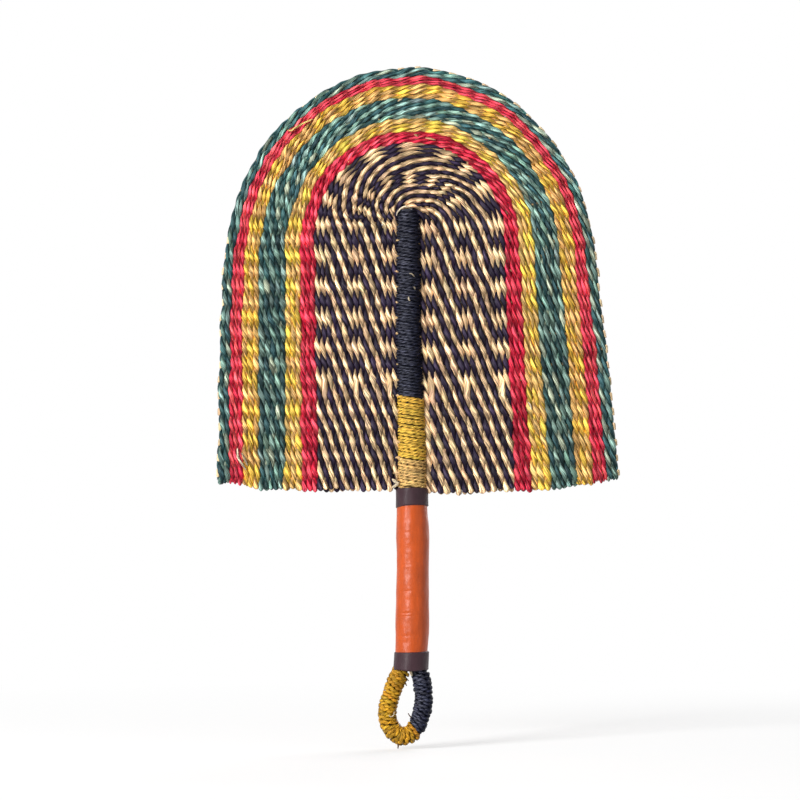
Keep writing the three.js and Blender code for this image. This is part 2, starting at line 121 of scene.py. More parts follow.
# Stitches of each row over the crown, from the spine's tip to the rim
CROWN_STITCHES = (3, 7) + 4 * (9,) + 9 * (15,) + 7 * (22,) + 12 * (30,)
# Every second stitch of the pattern on the crown, as a share of its length from the middle to each side
CROWN_LEFT = (0, 0.148, 0.296, 0.398, 0.5)
CROWN_RIGHT = (0, 0.148, 0.241, 0.342, 0.5)
SPINE_LEAN = -1.95  # how far the upper half of the spine leans to the side
LEAN_START, LEAN_END = 72, 148
SNUG = 1.0  # how far the innermost row is pressed against the spine
SNUG_ROWS = 6
SWAP_STAKE = 6  # the pattern changes between this stake and the next one up
# Which strand lies in front, row by row from the spine out: blocks above, stripes below
BLOCK_PHASES = (0, 0, 0, 1, 0, 1, 0, 0, 0, 1, 0, 1, 0, 0, 0)
STRIPE_PHASES = (0, 1) * 7 + (0,)

# Spine
TIP_RADIUS, FOOT_RADIUS = 5.2, 7.0
CLEARANCE = 0.3
WRAP_THICKNESS = 1.3

# Hang loop: centreline as distance right of the axis and drop below the lower collar
LOOP_RADIUS = 3.8
LOOP_NECK, NECK_LENGTH = 0.96, 5  # the loop's legs are drawn in where they enter the collar
LOOP_ROUTE = [
    (-5.6, -1.5), (-6.2, 0.6), (-9.0, 6), (-12.3, 15), (-14.4, 24), (-12.9, 32.3), (-9.7, 37.0),
    (-4.9, 38.8), (-0.1, 36.9), (3.1, 32.0), (5.7, 25), (6.9, 17), (6.0, 8), (4.3, -1.5),
]


def rgb(red, green, blue):
    """A screen colour, 0 to 255, as linear light."""
    value = np.array([red, green, blue]) / 255
    return np.where(value <= 0.04045, value / 12.92, ((value + 0.055) / 1.055) ** 2.4)


NATURAL = rgb(253, 211, 163)
NAVY = rgb(37, 24, 50)
SPINE_NAVY = rgb(13, 16, 38)
LOOP_NAVY = rgb(22, 25, 48)
CORAL = rgb(240, 72, 92)
CRIMSON = rgb(202, 34, 62)
LIGHT_CORAL = rgb(246, 86, 92)
YELLOW = rgb(245, 203, 82)
TAN_GOLD = rgb(236, 190, 114)
OUTER_WARMTH = np.array([1, 0.92, 0.9])  # the outer yellow rows are more golden
PALE_GOLD = rgb(246, 214, 128)
MUSTARD = rgb(216, 172, 64)
LOOP_YELLOW = rgb(200, 147, 32)
DRY_GOLD = rgb(224, 181, 110)
TEAL = rgb(42, 74, 76)
LIGHT_TEAL = rgb(116, 145, 134)
PALE_TEAL = rgb(180, 190, 164)
CUT_STRAW = rgb(222, 184, 134)
STAKE_END = rgb(242, 212, 166)
FRAYED_BROWN = rgb(96, 70, 44)
PALE_STRAW = rgb(246, 228, 196)
# Painted shade: the stems seen in the gaps between the wraps' turns are dark brown
BUNDLE_SHADE = rgb(60, 40, 20)
GRIP_ORANGE = rgb(203, 80, 5)
COLLAR_BROWN = rgb(62, 40, 47)
WHITE = (1, 1, 1, 1)


# Lines and points


def to_frame(points):
    """Points of the layout as points of the frame, in metres."""
    x, y, z = np.moveaxis(np.asarray(points, float), -1, 0)
    return np.stack([x, -z, y], -1) * MM


def lerp(a, b, share):
    return a + (b - a) * share


def smoothstep(value, low, high):
    t = np.clip((value - low) / (high - low), 0, 1)
    return t * t * (3 - 2 * t)


def unit(vectors):
    return vectors / np.linalg.norm(vectors, axis=-1, keepdims=True)


def lengths(points):
    """The length of a line from its first point to each point."""
    return np.concatenate([[0], np.cumsum(np.linalg.norm(np.diff(points, axis=0), axis=1))])


def blend(at, places, rows):
    """Rows of numbers known at some places, worked out at others."""
    return np.stack([np.interp(at, places, column) for column in rows.T], -1)


def in_plane(points):
    """Points across and up, as points in the middle plane of the blade."""
    return np.concatenate([points, np.zeros((len(points), 1))], 1)


def smooth_curve(points, count):
    """Even steps of a smooth line through points, and the length up to each."""
    points = np.asarray(points, float)
    knots = lengths(points)
    slopes = np.gradient(points, knots, axis=0)
    t = np.linspace(0, knots[-1], 20 * len(points))
    i = np.clip(np.searchsorted(knots, t, side="right") - 1, 0, len(points) - 2)
    gap = (knots[i + 1] - knots[i])[:, None]
    x = ((t - knots[i])[:, None]) / gap
    start, end = points[i], points[i + 1]
    curve = (2 * x**3 - 3 * x**2 + 1) * start + (x**3 - 2 * x**2 + x) * gap * slopes[i]
    curve += (3 * x**2 - 2 * x**3) * end + (x**3 - x**2) * gap * slopes[i + 1]
    run = lengths(curve)
    even = np.linspace(0, run[-1], count)
    return blend(even, run, curve), even


# Pieces

HIGHLIGHT_WHITE = 0.1  # how much of the painted crest highlight is white
SIDE_SHADE_POWER, CREST_POWER = 4, 6  # how narrow the painted shade on a strand's sides and the painted highlight on its crest are


def ring_faces(rings, sides):
    """Faces round a tube, as numbers of its points."""
    ring, start = np.arange(sides), sides * np.arange(rings - 1)[:, None]
    after = np.roll(ring, -1)
    quads = np.stack([start + ring, start + after, start + sides + after, start + sides + ring], -1)
    return quads.reshape(-1, 4)


class Strands:
    """Closed tubes that make one piece, with a colour and a grain direction at every point."""

    def __init__(self):
        self.points, self.tints, self.grains, self.faces = [], [], [], []
        self.count = 0

    def add(
        self, middle, across, over, half_width, half_height, tint,
        sides=10, twist=0.0, groove=0.0, sheen=0.0, under=1.0,
    ):
        """One tube along middle. Its section is an oval with the two given directions and half sizes.

        twist is the turn of its fibres in radians per millimetre, the next argument the painted shade on its
        two sides, where it meets its neighbours, the one after it a painted highlight along its crest, and
        under the share of its height that it has on the underside."""
        middle = np.asarray(middle, float)
        rings = len(middle)
        run = lengths(middle)
        angle = TAU * np.arange(sides) / sides
        turn = angle[None, :] - twist * run[:, None]
        width = (np.broadcast_to(half_width, rings)[:, None] * np.cos(angle))[..., None]
        rise = np.where(np.sin(angle) < 0, np.broadcast_to(under, rings)[:, None], 1) * np.sin(angle)
        height = (np.broadcast_to(half_height, rings)[:, None] * rise)[..., None]
        tube = middle[:, None, :] + width * across[:, None, :] + height * over[:, None, :]
        place = chance.uniform(0, 500, 3)
        length = np.broadcast_to(run[:, None], turn.shape)
        grain = np.stack([length, np.cos(turn), np.sin(turn)], -1) + place
        ring = np.arange(sides)
        self.faces += (self.count + ring_faces(rings, sides)).tolist()
        self.faces.append((self.count + ring[::-1]).tolist())
        self.faces.append((self.count + sides * (rings - 1) + ring).tolist())
        self.points.append(to_frame(tube).reshape(-1, 3))
        # Painted shade on the tube's two sides, and a painted highlight along its crest
        shade = 1 - groove * np.cos(angle) ** SIDE_SHADE_POWER
        crest = np.broadcast_to(sheen, rings)[:, None] * np.maximum(0, np.sin(angle)) ** CREST_POWER
        tints = np.broadcast_to(tint, (rings, 3))[:, None, :]
        tints = tints * shade[None, :, None] + (tints + HIGHLIGHT_WHITE) * crest[..., None]
        self.tints.append(tints.reshape(-1, 3))
        self.grains.append(grain.reshape(-1, 3))
        self.count += rings * sides

    def piece(self, name, material, slot, node):
        mesh = bpy.data.meshes.new(name)
        mesh.from_pydata(np.concatenate(self.points).tolist(), [], self.faces)
        tints = np.concatenate(self.tints)
        colors = np.concatenate([tints, np.ones((len(tints), 1))], 1)
        mesh.attributes.new("tint", "FLOAT_COLOR", "POINT").data.foreach_set("color", colors.ravel())
        grains = np.concatenate(self.grains)
        mesh.attributes.new("grain", "FLOAT_VECTOR", "POINT").data.foreach_set("vector", grains.ravel())
        finish_piece(name, mesh, material, node)


def new_object(name, data):
    made = bpy.data.objects.new(name, data)
    bpy.context.scene.collection.objects.link(made)
    return made


def finish_piece(name, mesh, material, node):
    """Makes an object of a mesh and puts it in the place of the CAD node."""
    mesh.polygons.foreach_set("use_smooth", [True] * len(mesh.polygons))
    mesh.validate()
    mesh.update()
    mesh.materials.append(material)
    piece = new_object(name, mesh)
    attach(piece, "root")
    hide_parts(node)


# Materials


class Nodes:
    """Short ways to add and link the shader nodes of a material or a world."""

    def __init__(self, owner):
        owner.use_nodes = True
        self.tree = owner.node_tree

    def fill(self, node, inputs):
        for key, value in inputs.items():
            if isinstance(value, bpy.types.NodeSocket):
                self.tree.links.new(value, node.inputs[key])
            else:
                node.inputs[key].default_value = value

    def add(self, kind, inputs=(), **settings):
        node = self.tree.nodes.new(kind)
        for key, value in settings.items():
            setattr(node, key, value)
        self.fill(node, dict(inputs))
        return node

    def noise(self, vector, scale, detail, roughness=0.6):
        inputs = {"Vector": vector, "Scale": scale, "Detail": detail, "Roughness": roughness}
        return self.add("ShaderNodeTexNoise", inputs).outputs["Fac"]

    def stretched(self, vector, scale):
        inputs = {"Vector": vector, "Scale": scale}
        return self.add("ShaderNodeMapping", inputs).outputs["Vector"]

    def remap(self, value, low, high, to_low, to_high):
        inputs = {"Value": value, "From Min": low, "From Max": high, "To Min": to_low, "To Max": to_high}
        return self.add("ShaderNodeMapRange", inputs).outputs["Result"]

    def from_noise(self, value, to_low, to_high):
        """A noise, which lies mostly between 0.3 and 0.7, brought to another range."""
        return self.remap(value, 0.3, 0.7, to_low, to_high)

    def mix(self, factor, a, b, blend_type="MIX"):
        inputs = {"Factor": factor, 6: a, 7: b}
        return self.add("ShaderNodeMix", inputs, data_type="RGBA", blend_type=blend_type).outputs[2]

    def math(self, operation, a, b):
        return self.add("ShaderNodeMath", {0: a, 1: b}, operation=operation).outputs[0]

    def times(self, a, b):
        return self.mix(1.0, a, b, "MULTIPLY")

    def bump(self, height, strength, distance):
        inputs = {"Height": height, "Strength": strength, "Distance": distance}
        return self.add("ShaderNodeBump", inputs).outputs["Normal"]


def new_material(name):
    material = bpy.data.materials.new(name)
    return material, Nodes(material)


# How close the straw's fibres, hairs and faded blotches lie, along a strand and round it
FIBRES, HAIRS, BLOTCHES = (0.06, 1.7, 1.7), (0.14, 5.5, 5.5), (0.3, 0.6, 0.6)
SEAM_WIDTH = 0.14  # of the dark line between two fibres
FIBRE_ROUNDING = 0.3
FADED_STRAW = (0.9, 0.86, 0.74, 1)
MOST_FADED = 0.3
STRAW_RELIEF = 0.3 * MM


def straw_material(name, rough, streak, specular):
    """Dyed or bare straw: the strand's colour, split into flat fibres that run along it."""
    material, made = new_material(name)
    tint = made.add("ShaderNodeAttribute", attribute_name="tint").outputs["Color"]
    grain = made.add("ShaderNodeAttribute", attribute_name="grain").outputs["Vector"]
    cells = {"Vector": made.stretched(grain, FIBRES), "Scale": 1}
    mixed = made.add("ShaderNodeTexVoronoi", cells).outputs["Color"]
    fibres = made.add("ShaderNodeSeparateColor", {"Color": mixed}).outputs["Red"]
    seams = made.add("ShaderNodeTexVoronoi", cells, feature="DISTANCE_TO_EDGE").outputs["Distance"]
    hair = made.noise(made.stretched(grain, HAIRS), 1, 2)
    blotch = made.noise(made.stretched(grain, BLOTCHES), 1, 2)
    color = made.times(tint, made.remap(fibres, 0, 1, 1 - streak, 1 + 1.6 * streak))
    color = made.times(color, made.remap(seams, 0, SEAM_WIDTH, 1 - 1.2 * streak, 1))
    color = made.times(color, made.from_noise(hair, 0.84, 1.24))
    faded = made.remap(blotch, 0.55, 0.75, 0, MOST_FADED)
    rounded = made.remap(seams, 0, FIBRE_ROUNDING, 0, 1)
    made.fill(made.tree.nodes["Principled BSDF"], {
        "Base Color": made.mix(faded, color, made.mix(1.0, color, FADED_STRAW, "SOFT_LIGHT")),
        "Roughness": made.from_noise(hair, rough + 0.1, rough - 0.1),
        "Specular IOR Level": specular,
        "Normal": made.bump(made.mix(0.3, rounded, hair), 0.6, STRAW_RELIEF),
    })
    return material


# How close the leather's clouds of dye, lumps, fine grain and waves of glaze lie, per metre
CLOUDS, LUMPS, FINE_GRAIN, GLAZE_WAVES = 70, 230, 2600, 200
RUBBED_STREAKS = (420, 420, 60)
LEATHER_RELIEF, GLAZE_RELIEF = 0.9 * MM, 0.6 * MM
LEATHER_SPECULAR, GLAZE_ROUGHNESS = 0.22, 0.3


def leather_material(name, color, dark, rough, pore, glaze):
    """Thin dyed leather: uneven dye, fine pores of a size in millimetres and rubbed streaks."""
    material, made = new_material(name)
    place = made.add("ShaderNodeTexCoord").outputs["Object"]
    cloud = made.remap(made.noise(place, CLOUDS, 4), 0.35, 0.7, 0, 0.7)
    rub = made.noise(made.stretched(place, RUBBED_STREAKS), 1, 3)
    cells = {"Vector": place, "Scale": 1 / (pore * MM)}
    pores = made.add("ShaderNodeTexVoronoi", cells).outputs["Distance"]
    grained = made.mix(0.35, made.remap(pores, 0, 0.6, 0, 1), made.noise(place, FINE_GRAIN, 3))
    lumpy = made.mix(0.8, grained, made.noise(place, LUMPS, 2))
    mottled = made.mix(cloud, (*color, 1), (*color * dark, 1))
    made.fill(made.tree.nodes["Principled BSDF"], {
        "Base Color": made.times(mottled, made.from_noise(rub, 0.9, 1.1)),
        "Roughness": made.from_noise(rub, rough + 0.06, rough - 0.06),
        "Specular IOR Level": LEATHER_SPECULAR,
        "Coat Weight": glaze,
        "Coat Roughness": GLAZE_ROUGHNESS,
        "Coat Normal": made.bump(made.noise(place, GLAZE_WAVES, 1, 0.5), 1, GLAZE_RELIEF),
        "Normal": made.bump(lumpy, 0.5, LEATHER_RELIEF),
    })
    return material


TWINED = straw_material("twined_straw", rough=0.4, streak=0.6, specular=0.13)
WRAPPED = straw_material("wrapped_straw", rough=0.4, streak=0.4, specular=0.15)
# The dark wraps' shine is mostly a painted highlight in their colour; their own specular is small
DARK_WRAP = straw_material("dark_wrapped_straw", rough=0.3, streak=0.55, specular=0.07)
CUT = straw_material("cut_straw", rough=0.6, streak=0.2, specular=0.2)
GRIP_LEATHER = leather_material("grip_leather", GRIP_ORANGE, dark=0.7, rough=0.5, pore=0.5, glaze=0.45)
COLLAR_LEATHER = leather_material("collar_leather", COLLAR_BROWN, dark=0.6, rough=0.45, pore=0.6, glaze=0.05)


# Rows of twining: edge number k runs from 0 beside the spine to ROWS at the rim


def grown(k, pattern_step, band_step):
    return pattern_step * np.minimum(k, PATTERN_ROWS) + band_step * np.maximum(k - PATTERN_ROWS, 0)


def bundle_radius(y):
    return lerp(FOOT_RADIUS, TIP_RADIUS, (y - BLADE_FOOT) / (WRAP_END - BLADE_FOOT))


def wrap_radius(y):
    return bundle_radius(y) + CLEARANCE + WRAP_THICKNESS


def spring_height(k):
    return INNER_SPRING - grown(k, PATTERN_DROP, BAND_DROP)


def arch_top(k):
    return INNER_SPRING + TIP_RISE + grown(k, PATTERN_RISE, BAND_RISE)


def half_width(k):
    return wrap_radius(INNER_SPRING) + CLEARANCE + grown(k, PATTERN_PITCH, BAND_PITCH)


def shift(k, down):
    return (1 - (1 - k / ROWS) ** 2) * (ARCH_OFFSET + LEG_LEAN * down)


def spine_x(y):
    """The middle of the spine, which isn't quite straight."""
    return SPINE_LEAN * smoothstep(y, LEAN_START, LEAN_END)


def row_edge(number, q):
    """Row edge counted in rows as they are drawn, as edge number k of the even rows at places q."""
    q = np.asarray(q, float)
    steps = np.concatenate([np.tile(band.widths, (band.rows, 1)) for band in BANDS.values()])
    steps[PATTERN_ROWS:] *= (ROWS - PATTERN_ROWS) / steps[PATTERN_ROWS:].sum(axis=0)
    edges = np.concatenate([np.zeros((1, 3)), np.cumsum(steps, axis=0)])
    foot, leg, crown = blend(number, np.arange(ROWS + 1), edges)
    crown = crown - CROWN_DROP * max(0, number - PATTERN_ROWS) / (ROWS - PATTERN_ROWS)
    at_foot = np.clip(1 - 2 * np.minimum(q, 3 - q), 0, 1)
    at_crown = np.sin(math.pi * np.clip(q - 1, 0, 1)) ** 2
    return leg + (foot - leg) * at_foot + (crown - leg) * at_crown


def edge_point(k, q):
    """Point of row edge k: q runs 0 to 1 up the left leg, to 2 over the arch and to 3 down the right leg."""
    q = np.asarray(q, float)
    share = k / ROWS
    spring = spring_height(k)
    rise = np.where(q < 1.5, q, 3 - q)
    side = np.where(q < 1.5, -1, 1)
    leg_y = lerp(ROW_FOOT, spring, rise)
    down = 1 - rise
    taper = (wrap_radius(ROW_FOOT) - wrap_radius(INNER_SPRING)) * (1 - share)
    leg_x = side * (half_width(k) + (taper + LEG_FLARE * share**FLARE_POWER) * down) + shift(k, down)
    angle = math.pi * (2 - q)
    arch_x = half_width(k) * np.cos(angle) + shift(k, 0)
    arch_y = spring + (arch_top(k) - spring) * np.sin(angle)
    on_arch = (q > 1) & (q < 2)
    y = np.where(on_arch, arch_y, leg_y)
    snug = SNUG * np.maximum(0, 1 - k / SNUG_ROWS) * np.where(on_arch, np.cos(angle), side)
    x = np.where(on_arch, arch_x, leg_x) + spine_x(y) * (1 - share) ** 2 - snug
    return np.stack([x, y], -1)


WAVES = [
    (chance.uniform(0, TAU), TAU / chance.uniform(14, 45), chance.uniform(0, TAU), chance.uniform(0, TAU))
    for _ in range(14)
]
UNEVENNESS = 0.17  # how far each wave pulls the work about
# Distances from the axis, and heights at the foot and over the tip, between which the waves grow
STILL_SIDE = (9, 22)
STILL_FOOT = (BLADE_FOOT - 4, BLADE_FOOT + 12)
STILL_TIP = (WRAP_END + 10, WRAP_END + 22)
SHOULDER_DRAW = 1.5  # how far the rim is drawn in at the shoulders
SHOULDER_HEIGHT = 195
SHOULDER_REACH = 32
RIM_HALF = 112  # from the handle's axis to the rim, at the shoulders


def by_hand(points):
    """Points of the blade, pulled about a little as hand work is, but not beside the spine."""
    points = np.array(points, float)
    x, y = points[..., 0], points[..., 1]
    near = smoothstep(np.abs(x), *STILL_SIDE) * smoothstep(y, *STILL_FOOT)
    near = np.maximum(near, smoothstep(y, *STILL_TIP))
    drawn = SHOULDER_DRAW * np.exp(-((y - SHOULDER_HEIGHT) / SHOULDER_REACH) ** 2)
    moved = points.copy()
    moved[..., 0] -= drawn * (x / RIM_HALF) ** 3
    for heading, pace, phase, pull in WAVES:
        wave = UNEVENNESS * near * np.sin(pace * (x * math.cos(heading) + y * math.sin(heading)) + phase)
        moved[..., 0] += wave * math.cos(pull)
        moved[..., 1] += wave * math.sin(pull)
    return moved


def stake_place(k, y):
    """Where edge k meets a level stake at height y, as q on the left side."""
    spring = spring_height(k)
    if y <= spring:
        return (y - ROW_FOOT) / (spring - ROW_FOOT)
    return 1 + math.asin(min(1, (y - spring) / (arch_top(k) - spring))) / math.pi


def crown_shares(k):
    """Where row edge k crosses the crown stakes, as shares of its length over the crown."""
    count = CROWN_STITCHES[min(int(k), ROWS - 1)]
    even = np.arange(1, count + 1) / (count + 1) - 0.5
    if k >= PATTERN_ROWS:
        return 0.5 + even
    steps = np.linspace(0, 0.5, len(CROWN_LEFT))
    left, right = np.interp(-even, steps, CROWN_LEFT), np.interp(even, steps, CROWN_RIGHT)
    return 0.5 + np.where(even < 0, -left, right)


def stake_dip(k):
    """How far the stakes hang where they cross row edge k on the right side."""
    return STAKE_DIP * max(0, 1 - half_width(k) / DIP_REACH)


def crossings(k):
    """The row's stakes from the left foot to the right foot, as q, with one past each end."""
    top = CROSS_STAKES + 1 if k < PATTERN_ROWS else CROSS_STAKES
    heights = BLADE_FOOT + STAKE_PITCH * np.arange(-1, top + 1)
    left = [stake_place(k, y) for y in heights]
    right = [3 - stake_place(k, y - stake_dip(k)) for y in heights[::-1]]
    over = np.linspace(left[-1], right[0], 300)
    run = lengths(edge_point(k, over))
    return np.concatenate([left, np.interp(crown_shares(k) * run[-1], run, over), right])


class Row:
    """The line of one row, and how its two strands turn round each other from stake to stake."""

    def __init__(self, index, swap):
        self.stakes = crossings(float(row_edge(index + 0.5, 1)))
        fine = np.linspace(self.stakes[0], self.stakes[-1], 1500)
        inner = by_hand(edge_point(row_edge(index, fine), fine))
        outer = by_hand(edge_point(row_edge(index + 1, fine), fine))
        middle = (inner + outer) / 2
        self.run = lengths(middle)
        self.middle, self.outward = middle, unit(outer - inner)
        self.width = np.linalg.norm(outer - inner, axis=1)
        self.at = np.interp(self.stakes, fine, self.run)
        spans = np.full(len(self.stakes) - 1, math.pi)
        # Crossing number 0 is stake -1, so stake n has number n + 1 on the left
        self.first = 1
        self.last = len(self.stakes) - 2
        if swap:
            spans[SWAP_STAKE + 1] = 0
            spans[len(spans) - 2 - SWAP_STAKE] = 0
        turns = np.concatenate([[0], np.cumsum(spans)])
        self.turns = turns - turns[SWAP_STAKE + 2]

    def along(self, u):
        """Middle, outward direction and width of the row at crossing number u, whole or not."""
        s = np.interp(u, np.arange(len(self.at)), self.at)
        outward = unit(blend(s, self.run, self.outward))
        return blend(s, self.run, self.middle), outward, np.interp(s, self.run, self.width)

    def turn(self, u):
        return np.interp(np.clip(u, self.first, self.last), np.arange(len(self.turns)), self.turns)


STEPS_PER_STITCH = 9
# How far a strand swings aside, half its thickness and half its width, as shares of the row's width
ROW_SPREAD, STRAND_FLATNESS, STITCH_WIDTH = 0.265, 0.37, 0.545
STRAND_SWING = 1.4  # from the middle of the blade to the middle of a strand in front of a stake
SLOW_CROSSING = 0.09  # how much more slowly the pair crosses than in an even twist
CROSSING_THINNESS, CROSSING_SHADE = 0.9, 0.8  # thickness and light of a strand where the pair crosses
SHADE_END = 0.5  # cosine of the turn at which its light is full again
# How uneven a strand is: in turn, to the side, in fullness and out of the blade
TURN_SPREAD, SIDE_SPREAD, FULL_SPREAD, LIFT_SPREAD = 0.16, 0.08, 0.10, 0.10
END_ROUNDING, END_FULLNESS = 0.2, 0.25  # length of a strand's rounded end, in stitches, and its size
FOOT_REACH = (0.08, 0.14)  # how far the strands reach past the lowest stake place, in stitches
FOOT_SPREAD = (-0.2, 0.05)
FOOT_RISE = (0.5, 0.75)  # how much shorter the rim's rows are at the left and right foot, in stitches
RISE_START, RISE_END = (22, 16), (ROWS, ROWS + 3)  # and the rows between which this grows


def stitch_tints(color, count, spread, paler=None, pale_share=0.0, drift_share=0.35):
    """A colour for each stitch of a strand: hand-dyed straw is never even."""
    light = np.exp(chance.normal(0, spread, count))[:, None]
    drift = np.exp(chance.normal(0, spread * drift_share, (count, 3)))
    tints = color * light * drift
    if paler is not None:
        pale = chance.random(count) < pale_share
        tints[pale] = paler * light[pale]
    return np.clip(tints, 0, 1)


def twine(strands, row, lead, tints, cut):
    """One strand of a row. lead is 0 or pi: which of the pair it is."""
    u = np.arange(row.first + cut[0], row.last - cut[1], 1 / STEPS_PER_STITCH)
    middle, outward, width = row.along(u)
    stitches = np.arange(len(row.stakes))
    uneven = lambda spread: np.interp(u, stitches, chance.normal(0, spread, len(stitches)))
    turn = row.turn(u) + lead + uneven(TURN_SPREAD)
    turn += SLOW_CROSSING * np.sin(2 * turn)
    wander = uneven(SIDE_SPREAD)
    fullness = np.interp(u, stitches, np.exp(chance.normal(0, FULL_SPREAD, len(stitches))))
    lift = uneven(LIFT_SPREAD)
    sideways = in_plane(outward)
    sine, cosine = np.sin(turn)[:, None], np.cos(turn)[:, None]
    aside = (ROW_SPREAD * width)[:, None] * sine + wander[:, None]
    ahead = (STRAND_SWING + lift)[:, None] * cosine
    path = in_plane(middle) + sideways * aside + FRONT * ahead
    across = sideways * cosine - FRONT * sine
    over = sideways * sine + FRONT * cosine
    shadow = lerp(CROSSING_SHADE, 1, smoothstep(np.abs(cosine), 0, SHADE_END))
    tint = tints[np.clip(np.round(u).astype(int), 0, stitches[-1])] * shadow
    to_end = np.clip(np.minimum(u - u[0], u[-1] - u) / END_ROUNDING, 0, 1)
    fullness = fullness * lerp(END_FULLNESS, 1, np.sqrt(1 - (1 - to_end) ** 2))
    half = STITCH_WIDTH * width * fullness
    thick = STRAND_FLATNESS * width * fullness * lerp(CROSSING_THINNESS, 1, np.cos(turn) ** 2)
    # Each strand gets painted shade on its sides and a painted highlight along its crest
    strands.add(path, across, over, half, thick, tint, twist=0.12, groove=0.5, sheen=0.24)


def foot_rise(index):
    """How much shorter a row is at its left and right foot, in stitches."""
    return np.array(FOOT_RISE) * smoothstep(index, np.array(RISE_START), np.array(RISE_END))


# Places where a band's lightness changes, from the left foot to the right foot
LIGHT_PLACES = (0.22, 0.35, 0.65, 0.78)
# Share of pale stitches along the inner row of the green edge
EDGE_PALE_PLACES = (0, 0.22, 0.3, 0.5, 0.55, 1)
EDGE_PALE_SHARES = (0.5, 0.4, 0.05, 0.1, 0.6, 0.7)
# How uneven each dye is from stitch to stitch
NATURAL_SPREAD, DARK_SPREAD, RED_SPREAD, YELLOW_SPREAD, GREEN_SPREAD = 0.07, 0.12, 0.1, 0.08, 0.2
GREEN_DRIFT = 0.2
DULL_MIDDLE = 0.1  # share of tan stitches in the middle row of a yellow band
PALE_FRINGE = 0.3  # share of pale stitches in the middle row of the green band
EDGE_LIGHT, EDGE_PALE = lerp(TEAL, LIGHT_TEAL, 0.7), lerp(LIGHT_TEAL, PALE_TEAL, 0.6)


def band_light(band, count):
    """How light a band's colour is at each stitch of a row. Over the crown it is lifted as painted sheen,
    where light from above catches the level strands.
    """
    left, crown, right = BANDS[band].light
    return np.interp(np.linspace(0, 1, count), LIGHT_PLACES, (left, crown, crown, right))[:, None]


def row_colors(band, number, count):
    """Colours of the two strands of a row, stitch by stitch."""
    lit = band_light(band, count)
    dyed = lambda color, spread, *mixed: stitch_tints(color * lit, count, spread, *mixed)
    in_first, in_second = BANDS[band].mixed
    if band == "pattern_row":
        return dyed(NATURAL, NATURAL_SPREAD), dyed(NAVY, DARK_SPREAD)
    if band == "inner_red_row":
        return dyed(CORAL, RED_SPREAD, CRIMSON, in_first), dyed(CRIMSON, DARK_SPREAD, CORAL, in_second)
    if band == "outer_red_row":
        bright = LIGHT_CORAL if number >= 2 else CORAL
        return dyed(bright, RED_SPREAD, CORAL, in_first), dyed(CRIMSON, DARK_SPREAD, CORAL, in_second)
    if band.endswith("yellow_row"):
        warmth = OUTER_WARMTH if band == "outer_yellow_row" else 1
        bright, tan = YELLOW * warmth, TAN_GOLD * warmth
        first = dyed(bright, YELLOW_SPREAD, tan, DULL_MIDDLE if number == 2 else in_first)
        return first, dyed(tan, YELLOW_SPREAD, bright, in_second)
    light, palest = (EDGE_LIGHT, EDGE_PALE) if band == "edge_green_row" else (LIGHT_TEAL, PALE_TEAL)
    if (band, number) == ("green_row", 3):
        in_first = PALE_FRINGE
    if (band, number) == ("edge_green_row", 1):
        in_first = np.interp(np.linspace(0, 1, count), EDGE_PALE_PLACES, EDGE_PALE_SHARES)
    dark = dyed(TEAL, GREEN_SPREAD, light, in_second, GREEN_DRIFT)
    return dyed(light, GREEN_SPREAD, palest, in_first, GREEN_DRIFT), dark


BIND_INSET, BIND_SWAY = 0.5, 0.55  # how far inside the rim the binding lies, and comes out between stakes
BIND_HALF_SIZES = (0.75, 1.15)
BIND_SHADE, BIND_END = 0.8, 0.1  # its light, and how much shorter it is than its row, in stitches


def bind_rim(strands, row):
    """A last strand along the rim, which shows between the bent ends of the stakes."""
    short = foot_rise(ROWS - 1) + BIND_END
    u = np.arange(row.first + short[0], row.last - short[1], 1 / STEPS_PER_STITCH)
    q = np.interp(u, np.arange(len(row.stakes)), row.stakes)
    points, way = rim_line(q, BIND_SWAY * np.sin(math.pi * u) ** 2 - BIND_INSET)
    over = np.broadcast_to(FRONT, way.shape)
    count = len(row.stakes) + 1
    color = TEAL * BIND_SHADE * band_light("edge_green_row", count)
    tints = stitch_tints(color, count, GREEN_SPREAD)[np.floor(u).astype(int)]
    strands.add(points, way, over, *BIND_HALF_SIZES, tints, twist=0.3)


